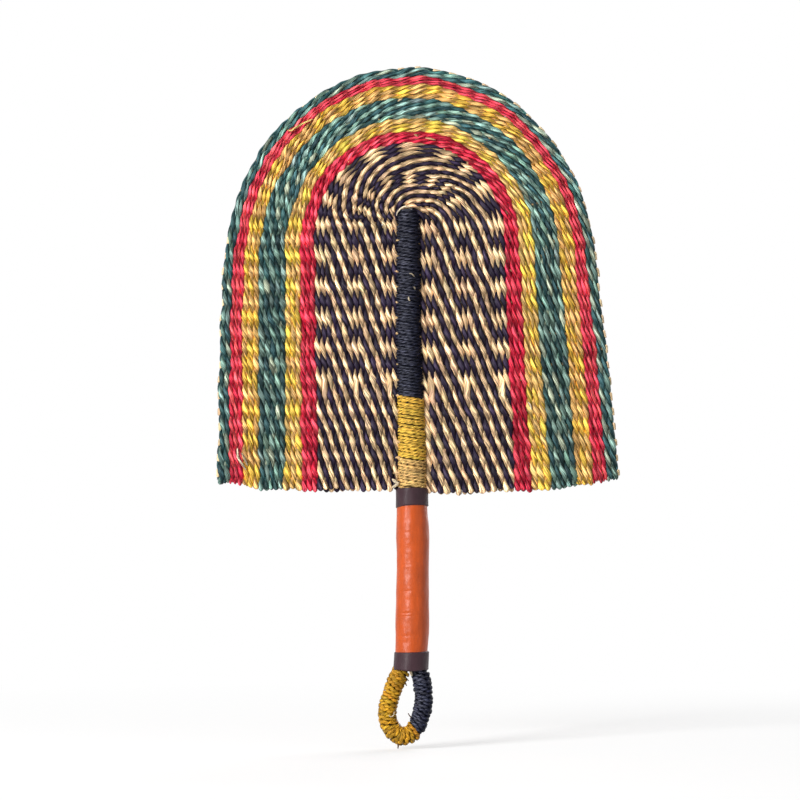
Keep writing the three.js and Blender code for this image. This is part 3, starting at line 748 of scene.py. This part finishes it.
# Loose strands and frayed fibres of each node: radius, colour and points
LOOSE_STRANDS = {
    "pattern_row_01": [
        (0.5, PALE_STRAW, (-9.0, 212.2, 2.6), (-8.3, 214.4, 3.6), (-6.6, 216.4, 3.9), (-4.6, 217.5, 3.4),
         (-0.2, 217.2, 2.8)),
    ],
    "pattern_row_02": [
        (0.9, PALE_STRAW * 0.85, (-11.6, 58.3, 3.4), (-9.8, 57.0, 5.0), (-7.8, 55.9, 5.6)),
        (0.9, PALE_STRAW * 0.8, (-7.9, 56.0, 5.6), (-9.6, 54.6, 5.0), (-11.6, 53.2, 3.6)),
    ],
    "outer_yellow_row_03": [
        (0.7, PALE_STRAW * 0.8, (-102, 76.4, 2.2), (-101.5, 70.6, 3.0), (-99.6, 67.6, 3.0),
         (-96.8, 63.6, 2.2)),
        (0.55, PALE_STRAW * 0.7, (-99.6, 73.6, 2.2), (-97.8, 70.4, 2.9), (-96.0, 66.2, 2.2)),
    ],
    "outer_yellow_row_02": [
        (0.6, PALE_GOLD, (-72.7, 262.4, 3.0), (-71.2, 261.9, 3.7), (-67.9, 263.7, 4.0), (-63.2, 266.3, 3.8),
         (-57.9, 268.7, 2.4)),
    ],
    "inner_red_row_02": [
        (0.5, CUT_STRAW, (1.2, 259.8, 2.4), (2.4, 259.3, 3.4), (3.4, 258.6, 2.4)),
        (0.5, CUT_STRAW * 0.8, (7.8, 257.7, 2.4), (10.6, 257.3, 3.4), (13.8, 256.5, 2.4)),
    ],
    "green_row_05": [(0.5, STAKE_END, (-8.4, 279.2, 2.4), (-7.2, 280.0, 3.3), (-5.8, 280.4, 2.4))],
    "green_row_03": [(0.5, PALE_STRAW, (68.0, 103.4, 2.4), (69.2, 101.6, 3.1), (69.8, 98.8, 2.4))],
    "spine_wrap_navy": [
        (0.35, PALE_STRAW * 0.8, (-1.6, 178.4, 7.7), (-0.2, 178.2, 8.2), (1.3, 176.7, 7.2)),
        (0.45, PALE_STRAW * 0.85, (-2.0, 164.8, 7.6), (-1.9, 163.4, 8.1), (-1.2, 162.4, 7.6)),
        (0.4, PALE_STRAW * 0.5, (1.0, 170.6, 7.1), (1.6, 169.9, 7.4), (1.7, 169.0, 6.9)),
    ],
    "loop_wrap_yellow": [
        (0.5, FRAYED_BROWN, (-7.9, -93.0, 3.2), (-8.0, -96.2, 3.0), (-8.2, -99.2, 2.8)),
        (0.4, FRAYED_BROWN, (-5.4, -56.8, 2.0), (-3.4, -58.2, 2.2), (-1.9, -59.6, 2.6)),
        (0.4, FRAYED_BROWN, (-5.0, -59.0, 2.0), (-4.0, -60.6, 2.2), (-3.1, -62.6, 2.4)),
        (0.3, PALE_STRAW, (-13.8, -79.2, 5.6), (-12.2, -80.3, 5.9), (-10.9, -79.6, 5.6), (-10.4, -77.4, 4.9)),
    ],
    "loop_wrap_navy": [
        (0.35, FRAYED_BROWN, (0.6, -81.6, 2.0), (-1.2, -80.2, 2.4), (-2.3, -78.4, 2.8)),
        (0.9, PALE_STRAW, (-1.0, -52.8, 3.6), (-0.6, -54.6, 4.4), (0.0, -56.6, 4.0)),
    ],
}
LOOSE_RINGS = 24
LOOSE_END = 0.35  # size of a loose strand at its ends, as a share
NEAR_FRONT = np.array([0.1, 0, 1.0])  # a direction that no loose strand has


def add_loose_strands(strands, node):
    for radius, tint, *points in LOOSE_STRANDS.get(node, ()):
        line, run = smooth_curve(points, LOOSE_RINGS)
        way = unit(np.gradient(line, axis=0))
        across = unit(np.cross(way, NEAR_FRONT))
        thin = radius * lerp(LOOSE_END, 1, np.sin(math.pi * run / run[-1]) ** 0.5)
        strands.add(line, across, np.cross(across, way), thin, thin, tint, sides=6, twist=0.5)


def make_rows():
    slots = {item["node"]: item["material_slot"] for item in frame["record"]["subparts"]}
    index = 0
    for name, band in BANDS.items():
        for number in range(1, band.rows + 1):
            if name == "pattern_row":
                phase = BLOCK_PHASES[index]
                swap = phase != STRIPE_PHASES[index]
            else:
                phase = 0 if "yellow" in name else index % 2
                swap = False
            row = Row(index, swap)
            first, second = row_colors(name, number, len(row.stakes))
            if index == 0:
                # The innermost row is plain along the right foot
                plain = SWAP_STAKE + 2
                second[-plain:] = stitch_tints(NATURAL, plain, NATURAL_SPREAD)
            strands = Strands()
            for lead, tints in ((0, first), (math.pi, second)):
                cut = chance.uniform(*FOOT_SPREAD, 2) - np.array(FOOT_REACH) + foot_rise(index)
                twine(strands, row, lead + phase * math.pi, tints, cut)
            node = f"{name}_{number:02d}"
            add_loose_strands(strands, node)
            if index == ROWS - 1:
                bind_rim(strands, row)
            strands.piece(f"twined_{node}", TWINED, slots[node], node)
            index += 1


# Stakes

STAKE_RISE, RIGHT_RISE = 2.3, 1.6  # how far the stakes stand out at the spine's left and right side
RISE_WIDTH = 1.5
STAKE_INSET = 0.6  # from the rim to the end of a stake's straight part
STAKE_WOBBLE = 0.12
STAKE_SIZES = (0.85, 1.1)
STAKE_SPREAD = 0.08  # how uneven the stakes' colour is
CROWN_STAKE_SIZE = 0.8
RIM_BIT = 4.6  # length of a stake's end where it is bent along the rim
RIM_BIT_SIZES = (0.75, 1.15)
RIM_BIT_WIDTH, RIM_BIT_HEIGHT = 1.1, 1.45  # half sizes
RIM_BIT_TAPER = np.array([0.75, 1, 1, 1, 1, 1, 0.75])
RIM_WINDOW = 0.02  # how far along the rim a bent end is looked for, as places q
LEFT_OUT, RIGHT_OUT, CROWN_OUT = (-0.5, 0.4), (0.2, 0.8), (0.1, 0.65)  # how far they stand out of the rim
BARE_RIM = 1.46  # place up to which the ends of the crown stakes lie under the binding
UNDER_INSET, CROWN_INSET = 1.3, 0.5  # how far the crown's ends are drawn in, up to there and after it


def straw(strands, points, radius):
    """A round straw through points of the layout, with both ends cut square."""
    way = unit(np.gradient(points, axis=0))
    across = unit(np.cross(way, FRONT))
    tint = stitch_tints(CUT_STRAW, 1, STAKE_SPREAD)[0]
    strands.add(points, across, np.cross(across, way), radius, radius, tint, sides=8)


def stake_line(points):
    """The points, a little uneven, in the middle of the blade."""
    return in_plane(by_hand(points) + chance.normal(0, STAKE_WOBBLE, points.shape))


def ended(points):
    """The points of a stake, with the end of its straight part inside the rim."""
    end = points[-1] - unit(points[-1] - points[-2]) * STAKE_INSET
    return np.concatenate([points, [end]])


def rim_line(q, outward):
    """Points of the rim at places q, moved outward, with the rim's own outward direction."""
    rim, inside = (by_hand(edge_point(row_edge(number, q), q)) for number in (ROWS, ROWS - 1))
    way = unit(rim - inside)
    return in_plane(rim + way * np.asarray(outward)[..., None]), in_plane(way)


def bent_end(strands, place, out):
    """The end of a stake, bent along the rim at place q."""
    near = np.linspace(place - RIM_WINDOW, place + RIM_WINDOW, 41)
    line, _ = rim_line(near, np.zeros(len(near)))
    run = lengths(line)
    run -= np.interp(place, near, run)
    half = RIM_BIT / 2 * chance.uniform(*RIM_BIT_SIZES)
    q = np.interp(np.linspace(-half, half, len(RIM_BIT_TAPER)), run, near)
    points, way = rim_line(q, np.full(len(q), out))
    over = np.broadcast_to(FRONT, way.shape)
    wide, high = RIM_BIT_WIDTH * RIM_BIT_TAPER, RIM_BIT_HEIGHT * RIM_BIT_TAPER
    strands.add(points, way, over, wide, high, stitch_tints(STAKE_END, 1, STAKE_SPREAD)[0], sides=8)


def make_cross_stakes():
    edges = np.concatenate([[0, 0.5, 1], np.arange(2, ROWS + 1, 2)])
    for number in range(1, CROSS_STAKES + 1):
        y = BLADE_FOOT + number * STAKE_PITCH
        left = ended(np.array([edge_point(k, stake_place(k, y)) for k in edges]))
        right = ended(np.array([edge_point(k, 3 - stake_place(k, y - stake_dip(k))) for k in edges]))
        line = stake_line(np.concatenate([left[::-1], right]))
        beside = line[:, 0] - spine_x(y)
        for edge, rise in ((-wrap_radius(y), STAKE_RISE), (wrap_radius(y), RIGHT_RISE)):
            line[:, 2] += rise * np.exp(-((beside - edge) / RISE_WIDTH) ** 2)
        strands = Strands()
        straw(strands, line, STAKE_RADIUS * chance.uniform(*STAKE_SIZES))
        bent_end(strands, stake_place(ROWS, y), chance.uniform(*LEFT_OUT))
        bent_end(strands, 3 - stake_place(ROWS, y), chance.uniform(*RIGHT_OUT))
        node = f"cross_stake_{number:02d}"
        strands.piece(f"straw_{node}", CUT, "straw_stem", node)


def make_crown():
    """Stakes that fan out over the crown, side by side at the tip and fewer to a place further out."""
    strands = Strands()
    edges = np.arange(0, ROWS + 1, 2)
    level = CROSS_STAKES + 2
    places = [crossings(k)[level:-level] for k in edges]
    count = CROWN_STITCHES[-1]
    for i in range(count):
        share = i / (count - 1)
        beside = (i % 2 - 0.5) * STAKE_RADIUS
        line = []
        for k, row in zip(edges, places):
            place = row[round(share * (len(row) - 1))] + beside / (math.pi * half_width(k))
            line.append(edge_point(row_edge(k, place), place))
        straw(strands, stake_line(ended(np.array(line))), STAKE_RADIUS * CROWN_STAKE_SIZE)
        end = places[-1][i]
        drawn_in = UNDER_INSET if end < BARE_RIM else CROWN_INSET
        bent_end(strands, end, chance.uniform(*CROWN_OUT) - drawn_in)
    strands.piece("straw_crown_stakes", CUT, "straw_stem", "crown_stakes")


# Wraps


class Wrap(NamedTuple):
    """A stretch of wrapping, from its first to its last stake space of the spine, or turn of the loop."""

    node: str
    first: float
    last: float
    color: np.ndarray
    material: bpy.types.Material
    slot: str
    # strength of the painted highlight along the crest of each turn
    sheen: float
    slant: float = 0  # how far a turn leads on the inside of the loop, in millimetres


# After its slot, each wrap gives the strength of its painted crest highlight
SPINE_WRAPS = [
    Wrap("spine_wrap_natural", 0, 2, DRY_GOLD, WRAPPED, "straw_natural_wrap", 0.2),
    Wrap("spine_wrap_yellow", 2, 6, MUSTARD, WRAPPED, "straw_yellow_wrap", 0.2),
    Wrap("spine_wrap_navy", 6, WRAP_SPANS, SPINE_NAVY, DARK_WRAP, "straw_navy_wrap", 0.8),
]
LOOP_WRAPS = [
    Wrap("loop_wrap_yellow", 0, 22, LOOP_YELLOW, WRAPPED, "straw_yellow_wrap", 0.1, slant=1.2),
    Wrap("loop_wrap_navy", 22, 36, LOOP_NAVY, DARK_WRAP, "straw_navy_wrap", 0.8, slant=2.0),
]
TURNS_PER_SPAN = 5
WRAP_STEPS = 60  # rings in one turn of a wrap
WRAP_GAP = 0.1  # share of a turn that is left out at each end of a wrap
KNOT_STEP = 0.25  # turns between the places at which a wrap's unevenness is drawn
# How uneven the turns are: in place, in fullness and in colour
SPINE_SPREADS, LOOP_SPREADS = (0.2, 0.07, 0.1), (0.17, 0.12, 0.14)
SPINE_TWIST, LOOP_TWIST = 0.7, 0.75  # turn of a wrapping strand's two plies, in radians per millimetre
SPINE_COVER, LOOP_COVER = 1.12, 1.16  # width of a wrapping strand, as a share of its room
WRAP_HALF_HEIGHT = 0.95
PLY_OFFSET, PLY_SIZE = 0.38, 0.7  # place and size of a ply in its strand
PLY_SPREAD = 0.05  # of its colour
PLY_WAVE, PLY_WAVE_LENGTH = 0.8, 6  # unevenness of the plies' turn
FULLER_TIP, FULLER_FOOT = 0.2, -0.2  # how far the wraps stand out past an even wrap
STAKE_ROOM = 1.7  # height that a stake takes between the turns, in stake radii
TURN_CLIMB = 0.25  # share of a turn in which it climbs, before and after the middle of the back
DIP_FADE = 4  # height below the spring of the arch from which the turns grow level
DOME_TURNS = 2.6  # turns that close in over the spine's tip
DOME_RISE = 7.6
WRAP_CLOSE, BUNDLE_CLOSE = 0.97, 0.95  # how far up the dome the wrap and the bundle close in
LOOP_BARE_END = 0.6
LOOP_WRAP_THICKNESS = 1.1
MOST_BEND = 0.12  # per millimetre, past which the turns spread no further
HIGHLIGHT_SIDE = np.array([-0.35, 0.1, 0.93])  # the dark wraps' painted highlight is strongest where they face this way, toward the upper left front where the key lamp is, and the opposite way at the back
# share of that painted highlight left where the dark wraps face aside, and how fast it falls off
HIGHLIGHT_ASIDE, HIGHLIGHT_FALLOFF = 0.1, 3


def wrap_spread(wrap, u, knots, spreads):
    """How uneven a wrap is at each turn u: its place, its fullness and its colour."""
    place, fullness, tint = spreads
    uneven = np.interp(u, knots, chance.normal(0, place, len(knots)))
    full = np.interp(u, knots, np.exp(chance.normal(0, fullness, len(knots))))
    return uneven, full, blend(u, knots, stitch_tints(wrap.color, len(knots), tint))


def wind(strands, wrap, path, along, out, half_width, fullness, tint, twist):
    """Lays a strand of two plies, twisted round each other, along the path of a wrap."""
    sheen = wrap.sheen
    # On the dark wraps the painted highlight is strongest on the side toward the key lamp, front and back
    if wrap.material is DARK_WRAP:
        sheen = sheen * lerp(HIGHLIGHT_ASIDE, 1, np.abs(out @ HIGHLIGHT_SIDE) ** HIGHLIGHT_FALLOFF)
    run = lengths(path)
    knots = np.arange(0, run[-1] + PLY_WAVE_LENGTH, PLY_WAVE_LENGTH)
    wave = np.interp(run, knots, chance.normal(0, PLY_WAVE, len(knots)))
    half_height = WRAP_HALF_HEIGHT * fullness
    for lead in (0, math.pi):
        turn = twist * run + wave + lead
        aside = along * (PLY_OFFSET * half_width * np.cos(turn))[:, None]
        aside = aside + out * (PLY_OFFSET * half_height * np.sin(turn))[:, None]
        ply = tint * np.exp(chance.normal(0, PLY_SPREAD))
        # Each ply gets painted shade on its sides and a painted highlight along its crest
        strands.add(
            path + aside, along, out, PLY_SIZE * half_width, PLY_SIZE * half_height, ply,
            sides=8, twist=twist, groove=0.85, sheen=sheen,
        )


def dome(y, close):
    """How far the spine's tip is drawn in at a height."""
    return np.sqrt(1 - np.clip((y - INNER_SPRING) / DOME_RISE, 0, close) ** 2)


def wrap_reach(y):
    """From the spine's axis to the middle of a wrapping strand, drawn in over the tip."""
    fuller = lerp(FULLER_FOOT, FULLER_TIP, smoothstep(y, BLADE_FOOT, INNER_SPRING))
    reach = bundle_radius(np.minimum(y, INNER_SPRING)) + CLEARANCE + WRAP_THICKNESS / 2 + fuller
    return reach * dome(y, WRAP_CLOSE)


def make_spine_wraps():
    squeeze = 1 - STAKE_ROOM * STAKE_RADIUS / STAKE_PITCH
    for wrap in SPINE_WRAPS:
        turns = (wrap.last - wrap.first) * TURNS_PER_SPAN
        if wrap.last == WRAP_SPANS:
            turns += DOME_TURNS
        u = np.arange(WRAP_GAP, turns - WRAP_GAP, 1 / WRAP_STEPS)
        uneven, fullness, tint = wrap_spread(wrap, u, np.arange(0, turns + 2, KNOT_STEP), SPINE_SPREADS)
        nearest = np.floor(u + 0.5)
        climb = nearest - 0.5 + smoothstep(u - nearest, -TURN_CLIMB, TURN_CLIMB)
        spans = wrap.first + climb / TURNS_PER_SPAN
        middle = np.floor(spans) + 0.5
        # The turns part where a stake leaves the spine, and follow its dip on the right side
        drawn = lerp(1, squeeze, np.sin(TAU * u) ** 12)
        y = BLADE_FOOT + STAKE_PITCH * (middle + (spans - middle) * drawn) + uneven
        level = smoothstep(y, INNER_SPRING - DIP_FADE, INNER_SPRING + DOME_RISE)
        y -= stake_dip(0) * (1 + np.sin(TAU * u)) / 2 * (1 - level)
        out = np.stack([np.sin(TAU * u), np.zeros(len(u)), -np.cos(TAU * u)], -1)
        path = np.stack([spine_x(y), y, np.zeros(len(u))], -1) + out * wrap_reach(y)[:, None]
        along = np.broadcast_to(UP, out.shape)
        wide = SPINE_COVER / 2 * STAKE_PITCH / TURNS_PER_SPAN * drawn * fullness
        strands = Strands()
        wind(strands, wrap, path, along, out, wide, fullness, tint, SPINE_TWIST)
        add_loose_strands(strands, wrap.node)
        strands.piece(f"wound_{wrap.node}", wrap.material, wrap.slot, wrap.node)


def loop_line(count):
    """The middle of the hang loop: points, the length up to each, and the direction there."""
    line, run = smooth_curve([(across, LOOP_TOP - drop) for across, drop in LOOP_ROUTE], count)
    return line, run, unit(np.gradient(line, axis=0))


def loop_neck(run, total):
    return lerp(LOOP_NECK, 1, smoothstep(np.minimum(run, total - run), 0, NECK_LENGTH))


def make_loop_wraps():
    line, run, way = loop_line(600)
    pitch = (run[-1] - 2 * LOOP_BARE_END) / LOOP_WRAPS[-1].last
    reach = LOOP_RADIUS + CLEARANCE + LOOP_WRAP_THICKNESS / 2
    for wrap in LOOP_WRAPS:
        u = np.arange(wrap.first + WRAP_GAP, wrap.last - WRAP_GAP, 1 / WRAP_STEPS)
        knots = np.arange(wrap.first, wrap.last + 1, KNOT_STEP)
        uneven, fullness, tint = wrap_spread(wrap, u, knots, LOOP_SPREADS)
        s = LOOP_BARE_END + pitch * u + uneven - wrap.slant * np.cos(TAU * u)
        ahead = blend(s, run, way)
        forward = in_plane(unit(ahead))
        outward = np.cross(forward, FRONT)
        angle = (TAU * u)[:, None]
        out = outward * np.cos(angle) + FRONT * np.sin(angle)
        path = in_plane(blend(s, run, line)) + out * (loop_neck(s, run[-1]) * reach)[:, None]
        # The turns spread on the outside of a bend and crowd on the inside
        bend = np.linalg.norm(np.gradient(ahead, s, axis=0), axis=1)
        room = pitch * (1 + np.clip(bend, 0, MOST_BEND) * LOOP_RADIUS * np.cos(TAU * u))
        strands = Strands()
        add_loose_strands(strands, wrap.node)
        wide = LOOP_COVER / 2 * room * fullness
        wind(strands, wrap, path, forward, out, wide, fullness, tint, LOOP_TWIST)
        strands.piece(f"wound_{wrap.node}", wrap.material, wrap.slot, wrap.node)


# Leather

LEATHER_STEP = 0.35  # height of one ring of leather
LEATHER_AROUND = 120  # points of a ring on each face of the leather
LEATHER_LIP = 0.6  # rounding of a strip's edges, as a share of its thickness
SEAM_HALF = 0.05  # half the angle between the two edges at the back
SLEEVE_THICKNESS, COLLAR_THICKNESS = 1.2, 0.8
# Sleeve: heights up the grip, with its outer radius and how far its middle lies to the side
SLEEVE_PROFILE = np.array([
    (-47.5, 9.3, -0.4), (-41.7, 9.35, -0.3), (-37, 9.5, 0), (-32, 9.85, 0.25), (-27.6, 9.95, 0.25),
    (-13.6, 9.7, 0.3), (-4.2, 9.6, 0.4), (5.1, 9.4, 0.55), (14.5, 9.45, 0.62), (23.8, 9.8, 0.5),
    (33, 9.4, 0.2), (37.9, 9.05, 0.05), (42.8, 8.8, 0), (47.5, 8.5, 0),
])
# Collars: the same radius and distance to the side
UPPER_SHAPE = (9.5, 0.1)
LOWER_FOOT_SHAPE, LOWER_TOP_SHAPE = np.array([10.4, -0.65]), np.array([10.1, -0.1])
# Creases in the grip's leather, left of its front: height, depth and half width
CREASES = (
    (27.5, 0.14, 0.8), (8.5, 0.1, 0.7), (-6.9, 0.22, 0.7), (-19.7, 0.32, 0.65), (-21.6, 0.26, 0.6),
    (-33, 0.12, 0.9),
)
CREASE_ANGLE, CREASE_SPREAD, CREASE_TILT = 2.0, 0.5, 0.9
# Lumps of the leather: depth, how close they lie round the handle and up it, and where they start
DENTS = ((0.22, 1.3, 0.045, 0), (0.16, 2, 0.11, 5), (0.05, 4, 0.16, 0))


def dent(angle, y):
    """Unevenness of leather rolled over stems, in millimetres."""
    raised = pressed = 0
    for depth, around, up, start in DENTS:
        place = Vector((math.cos(angle) * around, math.sin(angle) * around, start + y * up))
        raised += depth * noise.noise(place)
    for height, depth, wide in CREASES:
        off = (y - height + CREASE_TILT * (angle - CREASE_ANGLE)) / wide
        pressed += depth * math.exp(-off * off - ((angle - CREASE_ANGLE) / CREASE_SPREAD) ** 2)
    return raised - pressed


def leather_strip(node, low, high, shape, wave, thickness, material, slot):
    """A strip of leather rolled round the handle, with its two edges butted at the back.

    shape(y) is its outer radius and how far aside it lies. wave(angle) lifts its foot and its top."""
    angles = np.linspace(SEAM_HALF, TAU - SEAM_HALF, LEATHER_AROUND) - math.pi / 2
    lip_size = LEATHER_LIP * thickness
    count = int((high - low) / LEATHER_STEP)
    points = []
    size = 2 * LEATHER_AROUND
    for t in np.linspace(0, 1, count):
        lip = min(1, min(t, 1 - t) * (high - low) / lip_size)
        rounding = (1 - math.sqrt(max(0, 1 - (1 - lip) ** 2))) * lip_size
        for way_in, face in ((rounding, angles), (thickness, angles[::-1])):
            for angle in face:
                foot_wave, top_wave = wave(angle)
                y = lerp(low + foot_wave, high + top_wave, t)
                radius, aside = shape(y)
                reach = radius + dent(angle, y) - way_in
                points.append((aside + reach * math.cos(angle), y, reach * math.sin(angle)))
    faces = ring_faces(count, size).tolist()
    for start, flip in ((0, False), ((count - 1) * size, True)):
        for j in range(LEATHER_AROUND - 1):
            quad = (start + j, start + size - 1 - j, start + size - 2 - j, start + j + 1)
            faces.append(quad[::-1] if flip else quad)
    name = f"leather_{node}"
    mesh = bpy.data.meshes.new(name)
    mesh.from_pydata(to_frame(points).tolist(), [], faces)
    finish_piece(name, mesh, material, node)


def make_sleeve():
    heights, radii, asides = SLEEVE_PROFILE.T
    shape = lambda y: (np.interp(y, heights, radii), np.interp(y, heights, asides))
    level = lambda angle: (0, 0)
    leather_strip(
        "grip_sleeve", heights[0], heights[-1], shape, level, SLEEVE_THICKNESS, GRIP_LEATHER, "grip_leather"
    )


def upper_wave(angle):
    """The upper collar's foot slants, and both its ends rise at the front."""
    front = max(0, math.sin(angle))
    return 0.5 * math.cos(angle) + 1.6 * front - 0.8, 0.9 * front - 0.3


def lower_wave(angle):
    """The lower collar's foot is wavy, and its top slants."""
    return 0.3 * math.sin(3 * angle), 0.25 * math.cos(angle)


def make_collars():
    leather = (COLLAR_THICKNESS, COLLAR_LEATHER, "collar_leather")
    up = lambda y: (y - LOOP_TOP) / (GRIP_FOOT - LOOP_TOP)
    upper = lambda y: UPPER_SHAPE
    lower = lambda y: lerp(LOWER_FOOT_SHAPE, LOWER_TOP_SHAPE, up(y))
    leather_strip("upper_collar", GRIP_TOP, BLADE_FOOT, upper, upper_wave, *leather)
    leather_strip("lower_collar", LOOP_TOP, GRIP_FOOT, lower, lower_wave, *leather)


# Stem bundle: one bundle, folded in half. The fold is the hang loop and the two legs make the spine

LEG_SLOT = STAKE_RADIUS + CLEARANCE  # half the room between the legs, where the stakes pass
MOST_SLOT = 0.3  # and the most of it, as a share of the bundle's radius
LEG_UNDER = 0.08  # height of a leg's flat side, as a share of its round side
GRIP_BUNDLE_RADIUS = 7.4
BUNDLE_FILL = 0.6  # how far the stems press out between the turns of the wraps
NAVY_STEMS = BLADE_FOOT + 5.5 * STAKE_PITCH  # height above which the stems take the dark wraps' colour, as painted shade in the gaps between turns


def make_bundle():
    line, run, way = loop_line(90)
    tip = np.linspace(WRAP_END + 4.5, WRAP_END - 6, 16)
    y = np.concatenate([tip, np.arange(WRAP_END - 12, -46, -6)])
    radius = np.where(y > BLADE_FOOT, bundle_radius(np.minimum(y, INNER_SPRING)), GRIP_BUNDLE_RADIUS)
    radius = radius * dome(y, BUNDLE_CLOSE)
    turn = (math.pi / 2) * smoothstep(-y, -GRIP_TOP, -GRIP_FOOT)
    flat = np.zeros(len(y))
    out = np.stack([-np.sin(turn), flat, np.cos(turn)], -1)
    axis = np.stack([spine_x(y), y, flat], -1)
    slot = np.minimum(LEG_SLOT, MOST_SLOT * radius)
    front, back = axis + out * slot[:, None], axis - out * slot[:, None]
    points = np.concatenate([front, in_plane(line), back[::-1]])
    over = np.concatenate([out, np.cross(in_plane(way), FRONT), -out[::-1]])
    across = unit(np.cross(unit(np.gradient(points, axis=0)), over))
    full = radius + np.where(y > BLADE_FOOT, BUNDLE_FILL, 0)
    neck = loop_neck(run, run[-1]) * LOOP_RADIUS
    half = np.concatenate([full, neck, full[::-1]])
    height = np.concatenate([radius - slot, neck, (radius - slot)[::-1]])
    leg_under = np.full(len(y), LEG_UNDER)
    under = np.concatenate([leg_under, np.ones(len(line)), leg_under])
    x, up = points[:, 0], points[:, 1]
    # Painted shade: the stems show only in the gaps between the wraps' turns, so they are dark brown, and
    # dark blue under the dark wraps
    under_navy = (up > NAVY_STEMS) | ((x > 0) & (up < LOOP_TOP))
    tint = np.where(under_navy[:, None], SPINE_NAVY, BUNDLE_SHADE)
    strands = Strands()
    strands.add(points, across, over, half, height, tint, sides=36, under=under)
    strands.piece("straw_stem_bundle", CUT, "straw_stem", "stem_bundle")


# Stage, light and camera, in metres but for the photograph's scale

PHOTO_SIDE = 800
PHOTO_SCALE = 0.585  # millimetres in one pixel of the photograph
PHOTO_AXIS = (412, 578.75)  # pixel at the middle of the grip
CAMERA_DISTANCE = 2.5
SENSOR = 36
FLOOR_HALF = 6
FLOOR_GAP = 0.0025  # from the lowest point of the solids to the floor
FLOOR_GREY = (0.6, 0.6, 0.6, 1)
FLOOR_GLOW = 0.52  # brings the lit floor up to white for the camera, and leaves the shadow
FLOOR_FADE = (0.22, 0.6)  # distances between which the floor fades to white
WORLD_LIGHT = 0.22
LAMP_TARGET = Vector((0, 0, 0.1))


def seen_directly(made):
    """1 for rays that show the background: from the camera, off gloss or through glass."""
    rays = made.add("ShaderNodeLightPath").outputs
    seen = made.math("MAXIMUM", rays["Is Camera Ray"], rays["Is Glossy Ray"])
    return made.math("MAXIMUM", seen, rays["Is Transmission Ray"])


def make_floor():
    """A floor that is lit and shadowed near the object, and fades to plain white further off."""
    mesh = bpy.data.meshes.new("floor")
    corners = [(x * FLOOR_HALF, y * FLOOR_HALF, 0) for x, y in ((-1, -1), (1, -1), (1, 1), (-1, 1))]
    mesh.from_pydata(corners, [], [(0, 1, 2, 3)])
    floor = new_object("floor", mesh)
    floor.location.z = cad_box[0][2] - FLOOR_GAP
    material, made = new_material("pale_floor")
    seen = seen_directly(made)
    place = made.add("ShaderNodeTexCoord").outputs["Object"]
    far = made.add("ShaderNodeVectorMath", {0: place}, operation="LENGTH").outputs["Value"]
    faded = made.math("MULTIPLY", seen, made.remap(far, *FLOOR_FADE, 0, 1))
    glow = made.math("MULTIPLY", seen, FLOOR_GLOW)
    matt = made.add("ShaderNodeBsdfDiffuse", {"Color": FLOOR_GREY}).outputs[0]
    lift = made.add("ShaderNodeEmission", {"Color": WHITE, "Strength": glow}).outputs[0]
    near = made.add("ShaderNodeAddShader", {0: matt, 1: lift}).outputs[0]
    white = made.add("ShaderNodeEmission", {"Color": WHITE, "Strength": 1}).outputs[0]
    surface = made.add("ShaderNodeMixShader", {0: faded, 1: near, 2: white}).outputs[0]
    made.fill(made.tree.nodes["Material Output"], {"Surface": surface})
    mesh.materials.append(material)


def make_world():
    world = bpy.data.worlds.new("studio")
    bpy.context.scene.world = world
    made = Nodes(world)
    strength = made.remap(seen_directly(made), 0, 1, WORLD_LIGHT, 1)
    made.fill(made.tree.nodes["Background"], {"Color": WHITE, "Strength": strength})


def lamp(name, place, wide, tall, power):
    data = bpy.data.lights.new(name, "AREA")
    data.shape = "RECTANGLE"
    data.size, data.size_y = wide, tall
    data.energy = power
    light = new_object(name, data)
    light.location = place
    light.rotation_euler = (LAMP_TARGET - light.location).to_track_quat("-Z", "Y").to_euler()


def make_camera():
    data = bpy.data.cameras.new("camera")
    data.sensor_width = SENSOR
    data.lens = SENSOR * CAMERA_DISTANCE / (PHOTO_SIDE * PHOTO_SCALE * MM)
    camera = new_object("camera", data)
    middle = PHOTO_SIDE / 2
    x = (middle - PHOTO_AXIS[0]) * PHOTO_SCALE * MM
    z = (PHOTO_AXIS[1] - middle) * PHOTO_SCALE * MM
    camera.location = (x, -CAMERA_DISTANCE, z)
    camera.rotation_euler = (math.pi / 2, 0, 0)
    bpy.context.scene.camera = camera


make_camera()
make_rows()
make_cross_stakes()
make_crown()
make_spine_wraps()
make_loop_wraps()
make_sleeve()
make_collars()
make_bundle()
make_floor()
make_world()
lamp("key", (-1.1, -1.3, 0.55), wide=0.6, tall=1.5, power=38)
lamp("fill", (1.4, -1.6, 0.3), wide=1.2, tall=1.2, power=2)
lamp("back", (0.9, 1.5, 0.9), wide=1.6, tall=1.6, power=22)
bpy.context.scene.view_settings.view_transform = "Standard"
